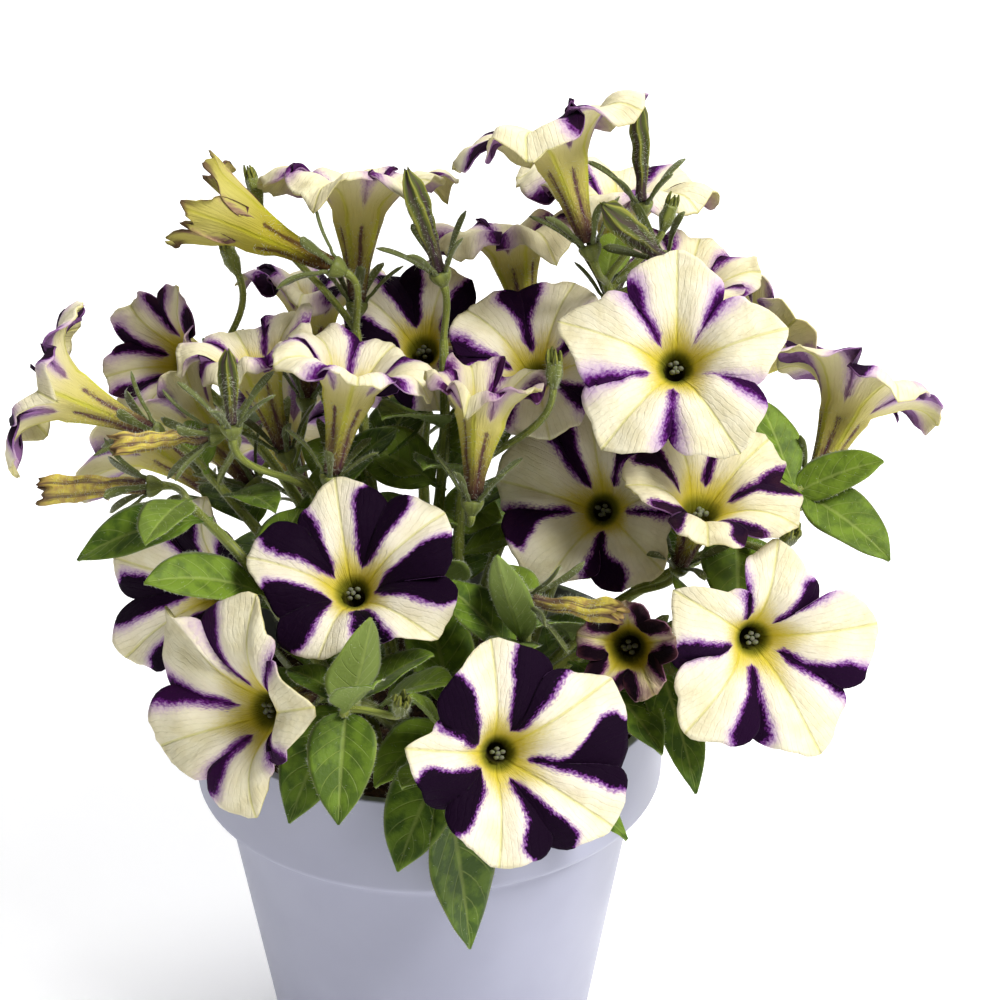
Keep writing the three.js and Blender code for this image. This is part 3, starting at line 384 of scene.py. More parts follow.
# Leaves placed by rule: how many on each stem, the rule's sizes, and the points that look for room
LEAF_COUNTS = {
    "stem_front": 5, "stem_front_left": 6, "stem_left_low": 6, "stem_left": 5, "stem_crown_left": 7,
    "stem_crown": 7, "stem_crown_right": 7, "stem_right_high": 6, "stem_right": 6, "stem_front_right": 6,
    "stem_front_middle": 6, "stem_middle": 8, "stem_middle_left": 7, "stem_front_bloom": 6,
    "stem_back_left": 5, "stem_back": 5, "stem_back_right": 5,
}
LEAF_FIRST = 0.05
LEAF_LAST = 0.98
LEAF_LOWER = 38
LEAF_UPPER = 24
LEAF_TRIES = 18
LEAF_SIZES = (1, 0.7)
LEAF_TURN = 137.5
LEAF_RETRY = 47
FACE_CLEARANCE = 30
PROBE_PLACES = (0.15, 0.27, 0.39, 0.51, 0.63, 0.75, 0.87, 1)
PROBE_RADIUS = 2.6


def unit(vector: Array) -> Array:
    """The vector at length one."""
    return vector / np.linalg.norm(vector)


def smooth(value: Array | float, low: float = 0.0, high: float = 1.0) -> Array:
    """Eases a value from 0 at low to 1 at high.

    Args:
        value: What is eased.
        low: Where the result is 0.
        high: Where the result is 1.

    Returns:
        The eased share.
    """
    share = np.clip((np.asarray(value, float) - low) / (high - low), 0, 1)
    return share * share * (3 - 2 * share)


def direction(heading: float, rise: float) -> Array:
    """A unit vector from a heading about Z and a rise above the horizon, in degrees."""
    h, r = math.radians(heading), math.radians(rise)
    return np.array([math.cos(h) * math.cos(r), math.sin(h) * math.cos(r), math.sin(r)])


def cross_frame(axis: Array) -> tuple[Array, Array]:
    """Finds two unit vectors square to an axis and to each other.

    Args:
        axis: The axis, at length one.

    Returns:
        One that lies level, and the other.
    """
    level = np.cross(UP, axis)
    level = np.array([1.0, 0, 0]) if np.linalg.norm(level) < 1e-6 else unit(level)
    return level, np.cross(axis, level)


def spin(
    centre: Array, axis: Array, angle: Array, radius: Array, height: Array
) -> Array:
    """Points round an axis.

    Args:
        centre: Where the heights are counted from.
        axis: The axis, at length one.
        angle: Each point's angle about it.
        radius: Its distance from it.
        height: Its height along it.

    Returns:
        The points, in the shape that the three measures have together.
    """
    level, rise = cross_frame(axis)
    angle, radius, height = np.broadcast_arrays(angle, radius, height)
    return (centre + (radius * np.cos(angle))[..., None] * level
            + (radius * np.sin(angle))[..., None] * rise + height[..., None] * axis)


def ring_angles(count: int) -> Array:
    """The angles of a ring of points."""
    return np.arange(count) / count * TURN


def stacked(*parts: Array | float) -> Array:
    """Vectors from their parts, each of which is an array or one value for all."""
    return np.stack(np.broadcast_arrays(*parts), -1)


def band(low: Array, high: Array) -> Array:
    """The quads between rings of points and the rings next to them."""
    return np.stack([low, np.roll(low, -1, -1), np.roll(high, -1, -1), high], -1)


FLIPPED = [1, 0, 2]


def fan(ring: Array, centre: int) -> Array:
    """The triangles from a ring of points to its centre, wound the other way with their columns FLIPPED."""
    return np.stack([ring, np.roll(ring, -1), np.full(len(ring), centre)], -1)


def run_length(rings: Array) -> float:
    """The length of the line through the middles of rings."""
    return float(np.linalg.norm(np.diff(rings.mean(1), axis=0), axis=1).sum())


def rounded(place: Array, start: float, span: float, least: float) -> Array:
    """A share that is 1 up to start and falls like a quarter circle over span, to the root of least."""
    return np.sqrt(np.clip(1 - ((place - start) / span).clip(0) ** 2, least, 1))


def ripples(
    angle: Array, heights: tuple[float, ...], counts: tuple[int, ...], rng: Generator
) -> Array:
    """Sums waves round a ring.

    Args:
        angle: Where they are read.
        heights: The waves' heights.
        counts: How many of each go round.
        rng: Where their phases come from.

    Returns:
        Their sum at each angle.
    """
    phases = rng.uniform(0, TURN, len(heights))
    return sum(a * np.sin(k * angle + p) for a, k, p in zip(heights, counts, phases))


def wobble(points: Array, length: float, seed: int) -> Array:
    """A soft unevenness in space, made of a few crossed waves.

    Args:
        points: Where it is read, in mm.
        length: The mean wave length, in mm.
        seed: Which unevenness it is.

    Returns:
        One value from about -1 to 1 for each point.
    """
    rng = np.random.default_rng(seed)
    waves = rng.normal(size=(6, 3))
    waves *= (TURN / length) * rng.uniform(0.6, 1.5, (6, 1)) / np.linalg.norm(waves, axis=1)[:, None]
    return np.sin(points @ waves.T + rng.uniform(0, TURN, 6)).sum(-1) / 3


class Path:
    """A line in space, read by a parameter from 0 to 1."""

    def point(self, t: float) -> Array:
        """The point at t."""
        raise NotImplementedError

    def tangent(self, t: float) -> Array:
        """The unit direction at t."""
        step = 1e-4
        return unit(self.point(min(1.0, t + step)) - self.point(max(0.0, t - step)))


class SpannedPath(Path):
    """A centripetal curve through its points, as a stem runs."""

    def __init__(self, points: list[tuple[float, ...]]) -> None:
        """Takes the points that the curve runs through."""
        inner = [np.array(p, float) for p in points]
        self.points = [2 * inner[0] - inner[1], *inner, 2 * inner[-1] - inner[-2]]

    def point(self, t: float) -> Array:
        """Reads the curve.

        Args:
            t: The parameter.

        Returns:
            The point there.
        """
        spans = len(self.points) - 3
        i = min(int(t * spans), spans - 1)
        w = t * spans - i
        p0, p1, p2, p3 = self.points[i:i + 4]
        d0, d1, d2 = (float((b - a) @ (b - a)) ** 0.25 for a, b in ((p0, p1), (p1, p2), (p2, p3)))
        t1 = d1 * ((p1 - p0) / d0 - (p2 - p0) / (d0 + d1) + (p2 - p1) / d1)
        t2 = d1 * ((p2 - p1) / d1 - (p3 - p1) / (d1 + d2) + (p3 - p2) / d2)
        bend = -3 * p1 + 3 * p2 - 2 * t1 - t2
        return p1 + t1 * w + bend * w * w + (2 * p1 - 2 * p2 + t1 + t2) * w ** 3


class BezierPath(Path):
    """A curve steered by three or four points."""

    def __init__(self, *points: Array) -> None:
        """Takes the steering points, from the curve's start to its end."""
        self.points = points

    def point(self, t: float) -> Array:
        """Reads the curve.

        Args:
            t: The parameter.

        Returns:
            The point there.
        """
        level = list(self.points)
        while len(level) > 1:
            level = [a * (1 - t) + b * t for a, b in zip(level, level[1:])]
        return level[0]


def carried_frames(path: Path, places: Array) -> list[tuple[Array, Array, Array]]:
    """Carries a frame along a path, turned as little as may be.

    Args:
        path: The path.
        places: Where the frame is read.

    Returns:
        Centre and two cross directions at each place.
    """
    level, frames = None, []
    for t in places:
        axis = path.tangent(t)
        level = cross_frame(axis)[0] if level is None else level
        level = unit(level - axis * float(level @ axis))
        frames.append((path.point(t), level, np.cross(axis, level)))
    return frames


def tube_grid(path: Path, places: Array, radii: Array, sides: int) -> Array:
    """Rings of points round a path.

    Args:
        path: The line that the tube follows.
        places: Where the rings stand on it.
        radii: The radius at each ring.
        sides: Points in a ring.

    Returns:
        Points, by ring and by side.
    """
    angles = ring_angles(sides)
    rings = [
        centre + r * (np.cos(angles)[:, None] * level + np.sin(angles)[:, None] * rise)
        for (centre, level, rise), r in zip(carried_frames(path, places), radii)
    ]
    return np.array(rings)


class Draft:
    """A mesh in the making: blocks of points and faces, with the marks that the finishes read.

    The marks are three vectors for each point. "grid" holds pattern coordinates in mm and a seed,
    "shape" says where on its organ a point is, and "tint" how that organ is coloured.
    """

    MARKS = ("grid", "shape", "tint")

    def __init__(self) -> None:
        """Starts empty."""
        self.points: list[Array] = []
        self.faces: list[tuple[Array, int]] = []
        self.marks: dict[str, list[Array]] = {name: [] for name in self.MARKS}
        self.count = 0

    def add(self, points: Array, faces: list[Array], finish: int, **marks: Array) -> None:
        """Adds a block.

        Args:
            points: Its points, in mm.
            faces: Arrays of triangles or quads, by point.
            finish: Which of the piece's materials it has.
            **marks: The marks that it carries, one vector a point or one for all.
        """
        self.points.append(points)
        self.faces += [(f + self.count, finish) for f in faces if len(f)]
        for name in self.MARKS:
            given = np.asarray(marks.get(name, (0.0, 0.0, 0.0)), float)
            self.marks[name].append(np.broadcast_to(given, points.shape))
        self.count += len(points)

    def add_closed(
        self, rings: Array, finish: int, **marks: Array
    ) -> tuple[Array, Array]:
        """Adds a body skinned over rings of points and closed at both ends.

        Args:
            rings: Points by ring and by side.
            finish: Which of the piece's materials it has.
            **marks: The marks, by ring and by side, or one vector for all.

        Returns:
            The block's points and its quads, for what grows on it.
        """
        ids = np.arange(rings[..., 0].size).reshape(rings.shape[:2])
        points = np.vstack([rings.reshape(-1, 3), rings[0].mean(0), rings[-1].mean(0)])
        quads = band(ids[:-1], ids[1:]).reshape(-1, 4)
        faces = [quads, fan(ids[0], ids.size)[:, FLIPPED], fan(ids[-1], ids.size + 1)]
        a, b, c, d = (points[quads[:, k]] for k in range(4))
        volume = (np.cross(a, b) * c).sum() + (np.cross(a, c) * d).sum()
        if volume < 0:
            faces = [f[:, ::-1] for f in faces]
        spread = {}
        for name, mark in marks.items():
            mark = np.broadcast_to(np.asarray(mark, float), rings.shape)
            spread[name] = np.vstack([mark.reshape(-1, 3), mark[0].mean(0), mark[-1].mean(0)])
        self.add(points, faces, finish, **spread)
        return points, faces[0]

    def finish(self, name: str, materials: list[Material]) -> Object:
        """Makes the object, in metres.

        Args:
            name: The object's name.
            materials: Its materials, in the order that the blocks count them.

        Returns:
            The new object.
        """
        mesh = bpy.data.meshes.new(name)
        points = np.vstack(self.points) * MM
        sizes = np.concatenate([np.full(len(f), f.shape[1]) for f, _ in self.faces])
        mesh.vertices.add(len(points))
        mesh.vertices.foreach_set("co", points.astype(np.float32).ravel())
        mesh.loops.add(int(sizes.sum()))
        corners = np.concatenate([f.ravel() for f, _ in self.faces])
        mesh.loops.foreach_set("vertex_index", corners.astype(np.int32))
        mesh.polygons.add(len(sizes))
        starts = np.concatenate([[0], np.cumsum(sizes)[:-1]])
        mesh.polygons.foreach_set("loop_start", starts.astype(np.int32))
        finishes = np.concatenate([np.full(len(f), k) for f, k in self.faces])
        mesh.polygons.foreach_set("material_index", finishes.astype(np.int32))
        mesh.update(calc_edges=True)
        mesh.shade_smooth()
        for mark, blocks in self.marks.items():
            attribute = mesh.attributes.new(mark, "FLOAT_VECTOR", "POINT")
            attribute.data.foreach_set("vector", np.vstack(blocks).astype(np.float32).ravel())
        for material in materials:
            mesh.materials.append(material)
        piece = bpy.data.objects.new(name, mesh)
        bpy.context.scene.collection.objects.link(piece)
        LOG.info("%s: %d triangles", name, int((sizes - 2).sum()))
        return piece


def scatter(
    points: Array, quads: Array, count: int, rng: Generator
) -> tuple[Array, Array]:
    """Random places on a skin, even by area.

    Args:
        points: The skin's points.
        quads: Its quads, wound outwards.
        count: How many places.
        rng: Where the draws come from.

    Returns:
        The places and the outward directions there.
    """
    a, b, c, d = (points[quads[:, k]] for k in range(4))
    across = np.cross(c - a, d - b)
    area = np.linalg.norm(across, axis=1)
    pick = rng.choice(len(quads), count, p=area / area.sum())
    u, v = rng.uniform(size=(2, count, 1))
    place = (a[pick] * (1 - u) + b[pick] * u) * (1 - v) + (d[pick] * (1 - u) + c[pick] * u) * v
    return place, across[pick] / area[pick][:, None]


def grow_hairs(
    draft: Draft, roots: Array, outward: Array, length: float, finish: int,
    rng: Generator, lean: float = 0.35,
) -> None:
    """Adds fine hairs as three-sided needles.

    Args:
        draft: The mesh that they join.
        roots: Where they stand, in mm.
        outward: The skin's direction at each root.
        length: Their mean length, in mm.
        finish: The hair's place among the piece's materials.
        rng: Where the draws come from.
        lean: How much they lean at random.
    """
    count = len(roots)
    if not count:
        return
    way = outward + rng.normal(scale=lean, size=(count, 3))
    way /= np.linalg.norm(way, axis=1)[:, None]
    side = np.cross(way, rng.normal(size=(count, 3)))
    side /= np.linalg.norm(side, axis=1)[:, None]
    other = np.cross(way, side)
    long = length * rng.uniform(0.55, 1.3, (count, 1))
    thick = HAIR_WIDTH / 2
    foot = roots - 0.12 * way
    base = [
        foot + thick * (math.cos(k * TURN / 3) * side + math.sin(k * TURN / 3) * other) for k in range(3)
    ]
    points = np.stack([*base, roots + long * way], 1).reshape(-1, 3)
    first = np.arange(count)[:, None] * 4
    faces = np.vstack([first + [k, (k + 1) % 3, 3] for k in range(3)])
    draft.add(points, [faces], finish)


# What is set on nodes, and which outputs of the Mix and Texture Coordinate nodes are used
MULTIPLY, ADD, SUBTRACT, ABSOLUTE, FRACTION, HIGHER, POWER, SCALED_SUM = (
    {"operation": name}
    for name in ("MULTIPLY", "ADD", "SUBTRACT", "ABSOLUTE", "FRACT", "MAXIMUM", "POWER", "MULTIPLY_ADD")
)
COLOUR = {"data_type": "RGBA"}
EASED = {"interpolation_type": "SMOOTHSTEP"}
GRID = {"attribute_name": "grid"}
MIXED = 2
OBJECT_PLACE = 3


def linear(colour: str) -> tuple[float, float, float, float]:
    """Turns an sRGB colour to a linear one.

    Args:
        colour: Six hex digits.

    Returns:
        Red, green and blue, with full alpha.
    """
    values = (int(colour[i:i + 2], 16) / 255 for i in (0, 2, 4))
    r, g, b = (v / 12.92 if v <= 0.04045 else ((v + 0.055) / 1.055) ** 2.4 for v in values)
    return r, g, b, 1.0


def add_node(
    tree: NodeTree, kind: str, settings: dict[str, object] | None = None,
    inputs: list | dict[int | str, object] | None = None, output: int = 0,
) -> NodeSocket:
    """Adds a shader node with its settings and links.

    Args:
        tree: The node tree.
        kind: The node's type, without the ShaderNode before it.
        settings: Its properties by name.
        inputs: Its first sockets in order, or its sockets by number or name: each a value, a hex colour,
            or the output that feeds it.
        output: Which of its outputs is wanted.

    Returns:
        That output.
    """
    node = tree.nodes.new("ShaderNode" + kind)
    for name, value in (settings or {}).items():
        setattr(node, name, value)
    for key, value in (enumerate(inputs) if isinstance(inputs, list) else (inputs or {}).items()):
        if isinstance(value, NodeSocket):
            tree.links.new(value, node.inputs[key])
        else:
            node.inputs[key].default_value = linear(value) if isinstance(value, str) else value
    return node.outputs[output] if len(node.outputs) else node.inputs[0]


def blank_material(name: str) -> tuple[Material, partial]:
    """Makes a material with no nodes.

    Args:
        name: The material's name.

    Returns:
        The material, and add_node for its tree.
    """
    material = bpy.data.materials.new(name)
    material.use_nodes = True
    material.node_tree.nodes.clear()
    return material, partial(add_node, material.node_tree)


def read_mark(node: partial, name: str) -> tuple[NodeSocket, ...]:
    """The three parts of one of the mesh's marks."""
    mark = node("Attribute", {"attribute_name": name}, output=1)
    return tuple(node("SeparateXYZ", None, [mark]).node.outputs)


def off_middle(node: partial, value: NodeSocket, count: float) -> NodeSocket:
    """Measures how far a value is from the middle between evenly spaced lines.

    Args:
        node: add_node for the tree.
        value: The value.
        count: How many lines lie in one unit of it.

    Returns:
        0 in the middle and 0.5 on a line.
    """
    for step, others in ((MULTIPLY, [count]), (FRACTION, []), (SUBTRACT, [0.5]), (ABSOLUTE, [])):
        value = node("Math", step, [value, *others])
    return value


def cover(
    material: Material, node: partial, skin: dict[str, object], glow: float = 0.0
) -> Material:
    """Gives a material its surface.

    Args:
        material: The material.
        node: add_node for its tree.
        skin: What the skin's shader is given.
        glow: The share of the light that passes through, as in a thin sheet.

    Returns:
        The material.
    """
    surface = node("BsdfPrincipled", None, skin)
    if glow:
        sheet = {"Color": skin["Base Color"]} | {key: skin[key] for key in ("Normal",) if key in skin}
        surface = node("MixShader", None, [glow, surface, node("BsdfTranslucent", None, sheet)])
    node("OutputMaterial", None, [surface])
    return material


@dataclass(frozen=True)
class PetalTissue:
    """Petunia petal: a living sheet of papillate cells, thin enough to glow when lit from behind.

    The cells' tiny domes scatter light, so the face is matt with hardly any gloss. The pigment sits in
    the outer cells: its edge is a fringe of single coloured cells, finer than a millimetre.
    """

    back: bool = False
    cream: str = "efe9cf"
    ivory: str = "d9cfa2"
    pearl: str = "f2e9e4"
    lilac: str = "be99cb"
    violet: str = "6f2687"
    plum: str = "3c0e48"
    ink: str = "15041a"
    yellow: str = "d9c722"
    olive: str = "7b7a1e"
    # Near-black olive, painted deep in the tube as painted shade where little light reaches
    hole: str = "332c14"
    withered: str = "cbc75e"
    dried: str = "4d2a32"
    ground_back: str = "dcd6a2"
    tube: str = "cbc067"
    rib: str = "cbc94a"
    streak: str = "57303c"
    speckle: float = 0.3
    crepe: float = 0.7
    vein_pitch: float = 1.5

    def make(self) -> Material:
        """Builds the material for the face or for the back of a corolla.

        Returns:
            The material.
        """
        material, node = blank_material("petunia_petal_back" if self.back else "petunia_petal_face")
        star, reach, aside = read_mark(node, "shape")
        bleed, depth, faded = read_mark(node, "tint")
        grid = node("Attribute", GRID, output=1)

        # Single cells and the sheet's crumple, both drawn out along the radius, and broad patches
        grains = (
            (1 / self.speckle, 0.36 / self.speckle, 3.0), (0.3, 0.2, 3.0),
            (1 / self.crepe, 0.4 / self.crepe, 4.0),
        )
        fine, broad, crumple = (
            node("TexNoise", None, {
                "Vector": node("Mapping", None, {0: grid, 3: (turned, drawn, 1)}),
                "Scale": 1.0, "Detail": detail,
            }) for turned, drawn, detail in grains
        )

        # The star's edge, ragged by the cells that hold the pigment or not, and the haze outside it
        ragged = node("MapRange", None, [fine, 0.3, 0.7, -0.5, 0.5])
        drift = node("MapRange", None, [broad, 0.3, 0.7, -0.45, 0.45])
        edge = node("Math", ADD, [star, node("Math", ADD, [ragged, drift])])
        soft = node("MapRange", None, [depth, 0.0, 1.0, 1.3, 0.6])
        core = node("MapRange", EASED, [edge, -0.2, soft])
        spread = node("Math", MULTIPLY, [node("MapRange", None, [reach, 0.0, 1.0, -1.2, -7.0]), bleed])
        halo = node("MapRange", EASED, [edge, spread, 0.2, 0.0, 0.85])

        # Veins fan out from the midrib, greener than the ground
        radius = node("SeparateXYZ", None, [grid], 1)
        fan = node("Math", SCALED_SUM, [radius, -0.25, aside])
        fan = node("Math", SCALED_SUM, [drift, 1.1, fan])
        vein = node("MapRange", EASED, [off_middle(node, fan, 1 / self.vein_pitch), 0.36, 0.5])
        midrib = node("MapRange", EASED, [aside, 0.55, 0.08])
        layers = [
            (node("MapRange", EASED, [broad, 0.3, 0.75, 0.0, 0.6]), self.ivory),
            (node("MapRange", EASED, [edge, -7.0, -1.0, 0.0, 0.4]), self.pearl),
            (node("Math", MULTIPLY, [vein, 0.05]), self.olive),
            (node("Math", MULTIPLY, [midrib, 0.42]), self.rib),
        ]
        if self.back:
            # The tube is yellow-green with a strong rib below each lobe and purple veins at its foot, and
            # the star goes on down it as a brown-purple seam between the ribs
            low = node("MapRange", EASED, [reach, 0.5, -0.2])
            broader = node("MapRange", EASED, [aside, 1.1, 0.2, 0.0, 0.85])
            foot = node("MapRange", EASED, [reach, -0.1, -0.8])
            lines = node("Math", MULTIPLY, [node("MapRange", EASED, [fine, 0.6, 0.42]), foot])
            base = node("MapRange", EASED, [reach, -0.35, -0.95, 0.0, 0.9])
            limb = node("Math", SUBTRACT, [1.0, low])
            seam = node("MapRange", EASED, [edge, -0.6, 0.5, 0.0, 0.8])
            layers += [
                (low, self.tube), (node("Math", MULTIPLY, [broader, low]), self.rib),
                (node("Math", HIGHER, [lines, base]), self.streak),
                (node("Math", MULTIPLY, [halo, limb]), self.lilac),
                (node("Math", MULTIPLY, [core, 0.65]), self.violet),
                (node("MapRange", EASED, [edge, 1.6, 3.2, 0.0, 0.6]), self.plum),
                (node("Math", MULTIPLY, [seam, low]), self.streak),
            ]
        else:
            # Yellow runs up the lobes from the throat, farther along the midribs. The star lies over it,
            # as deep as the pigment is
            lit = node("Math", SCALED_SUM, [ragged, 0.1, node("Math", SCALED_SUM, [aside, 0.03, reach])])
            layers += [
                (node("MapRange", EASED, [lit, 0.42, 0.0, 0.0, 0.9]), self.yellow),
                (node("MapRange", EASED, [reach, 0.03, -0.25]), self.olive),
                (halo, self.lilac), (node("MapRange", EASED, [edge, -1.3, 0.35]), self.violet),
                (core, node("Mix", COLOUR, {0: depth, 6: self.plum, 7: self.ink}, MIXED)),
                # Deeper in the tube the skin turns near-black olive: painted shade in the narrow tube
                (node("MapRange", EASED, [reach, -0.3, -0.95]), self.hole),
            ]
        colour = self.ground_back if self.back else self.cream
        for share, tone in layers:
            colour = node("Mix", COLOUR, {0: share, 6: colour, 7: tone}, MIXED)

        # A fading petal yellows, and dries brown from its edge
        worn = node("Math", MULTIPLY, [faded, 0.85])
        stained = COLOUR | {"blend_type": "MULTIPLY"}
        colour = node("Mix", stained, {0: worn, 6: colour, 7: self.withered}, MIXED)
        dry = node("MapRange", EASED, [node("Math", SCALED_SUM, [drift, 0.5, reach]), 0.7, 1.12])
        dry = node("Math", MULTIPLY, [dry, worn])
        colour = node("Mix", COLOUR, {0: dry, 6: colour, 7: self.dried}, MIXED)

        groove = node("Math", MULTIPLY, [node("Math", SCALED_SUM, [vein, 0.35, midrib]), 0.6])
        height = node("Math", SUBTRACT, [crumple, groove])
        bump = node("Bump", None, {"Height": height, "Strength": 0.7, "Distance": 0.5 * MM})
        return cover(material, node, {
            "Base Color": colour, "Roughness": 0.68, "IOR": WATERY_IOR, "Normal": bump,
            "Specular IOR Level": 0.06, "Sheen Weight": 0.02, "Sheen Roughness": 0.5,
        }, 0.24)


@dataclass(frozen=True)
class FadedPetal:
    """Petal rolled up before it opens or after it withers.

    A bud is dark olive with paler ribs; a spent bloom is limp and yellow with dried brown edges.
    """

    bud: str = "4a5222"
    bud_rib: str = "8d8e3a"
    yellow: str = "cdbd50"
    tan: str = "a68b4e"
    brown: str = "4b3022"
    purple: str = "43293a"
    rib: float = 0.6

    def make(self) -> Material:
        """Builds the material.

        Returns:
            The material.
        """
        material, node = blank_material("faded_petunia_petal")
        fold, along, spent = read_mark(node, "shape")
        grid = node("Attribute", GRID, output=1)
        ribs = node("Mapping", None, {0: grid, 3: (1 / self.rib, 0.09, 1)})
        streak = node("TexNoise", None, {"Vector": ribs, "Scale": 1.0, "Detail": 3.0})
        patches = node("TexNoise", None, {"Vector": grid, "Scale": 0.4, "Detail": 3.0})
        ridge = node("Math", SCALED_SUM, [streak, 2.4, fold])
        raised = node("MapRange", EASED, [ridge, 0.8, 2.4])
        pale = node("MapRange", EASED, [patches, 0.35, 0.65])
        colour = node("Mix", COLOUR, {0: raised, 6: self.bud, 7: self.bud_rib}, MIXED)
        old = node("Mix", COLOUR, {0: pale, 6: self.tan, 7: self.yellow}, MIXED)

        # Purple lies in the folds, and up from the foot in streaks. A spent bloom's tip is dried
        valley = node("MapRange", EASED, [ridge, 0.75, 0.1, 0.0, 0.75])
        foot = node("Math", SCALED_SUM, [streak, 0.9, along])
        foot = node("MapRange", EASED, [foot, 0.95, 0.45, 0.0, 0.8])
        tip = node("Math", SCALED_SUM, [patches, 0.35, along])
        tip = node("MapRange", EASED, [tip, 1.06, 1.18, 0.0, 0.9])
        tip = node("Math", MULTIPLY, [tip, spent])
        for share, tone in ((spent, old), (valley, self.purple), (foot, self.purple), (tip, self.brown)):
            colour = node("Mix", COLOUR, {0: share, 6: colour, 7: tone}, MIXED)
        bump = node("Bump", None, {"Height": streak, "Strength": 0.6, "Distance": 0.4 * MM})
        return cover(material, node, {
            "Base Color": colour, "Roughness": 0.6, "IOR": WATERY_IOR, "Normal": bump,
            "Specular IOR Level": 0.3,
        }, 0.12)


@dataclass(frozen=True)
class LeafTissue:
    """Petunia leaf blade: soft and clammy, quilted between sunken veins, matt from its down of hairs."""

    deep: str = "3c5515"
    green: str = "658023"
    young: str = "93a73a"
    under: str = "7b8d45"
    vein: str = "a9b765"
    cell: float = 0.8

    def make(self) -> Material:
        """Builds the material.

        Returns:
            The material.
        """
        material, node = blank_material("petunia_leaf_blade")
        side, along, below = read_mark(node, "shape")
        youth, shade, _ = read_mark(node, "tint")
        grid = node("Attribute", GRID, output=1)
        aside = node("Math", ABSOLUTE, [side])
        bowed = node("Math", MULTIPLY, [node("Math", POWER, [aside, VEIN_CURVE]), VEIN_BOW])
        lateral = off_middle(node, node("Math", SUBTRACT, [along, bowed]), LEAF_VEINS)
        inner = node("MapRange", EASED, [aside, 0.95, 0.6])
        lateral = node("Math", MULTIPLY, [node("MapRange", EASED, [lateral, 0.43, 0.5]), inner])
        midrib = node("MapRange", EASED, [aside, 0.1, 0.02])
        vein = node("Math", HIGHER, [lateral, midrib])
        patch = node("TexNoise", None, {"Vector": grid, "Scale": 0.22, "Detail": 4.0})
        mottle = node("Math", ADD, [node("MapRange", EASED, [patch, 0.35, 0.65]), shade])
        hem = node("MapRange", EASED, [aside, 0.9, 1.0, 0.0, 0.45])
        lined = node("Math", MULTIPLY, [vein, 0.32])
        colour = self.deep
        for share, tone in (
            (mottle, self.green), (youth, self.young), (below, self.under),
            (lined, self.vein), (hem, self.vein),
        ):
            colour = node("Mix", COLOUR, {0: share, 6: colour, 7: tone}, MIXED)
        cells = node("TexNoise", None, {"Vector": grid, "Scale": 1 / self.cell, "Detail": 3.0})
        height = node("Math", SUBTRACT, [cells, vein])
        bump = node("Bump", None, {"Height": height, "Strength": 0.45, "Distance": 0.4 * MM})
        return cover(material, node, {
            "Base Color": colour, "Roughness": 0.55, "IOR": WATERY_IOR, "Normal": bump,
            "Specular IOR Level": 0.28, "Sheen Weight": 0.08, "Sheen Roughness": 0.4,
        }, 0.16)


@dataclass(frozen=True)
class StemTissue:
    """Herbaceous stem and sepal: juicy, faintly ribbed, paler than the leaves and clad in down."""

    green: str = "848c3c"
    dark: str = "5b6429"
    tip: str = "454d28"
    rib: float = 0.6

    def make(self) -> Material:
        """Builds the material.

        Returns:
            The material.
        """
        material, node = blank_material("petunia_stem")
        tip = read_mark(node, "tint")[0]
        ribs = node("Mapping", None, {0: node("Attribute", GRID, output=1), 3: (1 / self.rib, 0.12, 1)})
        streak = node("TexNoise", None, {"Vector": ribs, "Scale": 1.0, "Detail": 3.0})
        mixed = node("MapRange", EASED, [streak, 0.3, 0.7])
        colour = node("Mix", COLOUR, {0: mixed, 6: self.dark, 7: self.green}, MIXED)
        colour = node("Mix", COLOUR, {0: tip, 6: colour, 7: self.tip}, MIXED)
        bump = node("Bump", None, {"Height": streak, "Strength": 0.4, "Distance": 0.25 * MM})
        return cover(material, node, {
            "Base Color": colour, "Roughness": 0.5, "IOR": WATERY_IOR, "Normal": bump,
            "Specular IOR Level": 0.4, "Sheen Weight": 0.2, "Sheen Roughness": 0.4, "Subsurface Weight": 0.08,
            "Subsurface Radius": (0.6, 1.0, 0.3), "Subsurface Scale": MM,
        })


@dataclass(frozen=True)
class PlantDown:
    """The plant's glandular hairs: colourless, so they catch the light as a pale fringe."""

    white: str = "e9ecdc"
    grey: str = "c3cbb0"

    def make(self) -> Material:
        """Builds the material.

        Returns:
            The material.
        """
        material, node = blank_material("plant_down")
        place = node("TexCoord", output=OBJECT_PLACE)
        patch = node("TexNoise", None, {"Vector": place, "Scale": 0.05 / MM})
        colour = node("Mix", COLOUR, {0: patch, 6: self.white, 7: self.grey}, MIXED)
        return cover(material, node, {"Base Color": colour, "Roughness": 0.45, "IOR": 1.5}, 0.4)


@dataclass(frozen=True)
class Pollen:
    """Ripe anthers and the moist stigma: grey-lilac pollen, grainy and dull."""

    lilac: str = "5a5653"
    green: str = "626b45"

    def make(self) -> Material:
        """Builds the material.

        Returns:
            The material.
        """
        material, node = blank_material("petunia_pollen")
        place = node("TexCoord", output=OBJECT_PLACE)
        grain = node("TexNoise", None, {"Vector": place, "Scale": 2.0 / MM, "Detail": 2.0})
        mixed = node("MapRange", EASED, [grain, 0.35, 0.65])
        colour = node("Mix", COLOUR, {0: mixed, 6: self.lilac, 7: self.green}, MIXED)
        bump = node("Bump", None, {"Height": grain, "Strength": 0.6, "Distance": 0.2 * MM})
        return cover(material, node, {"Base Color": colour, "Roughness": 0.8, "Normal": bump})


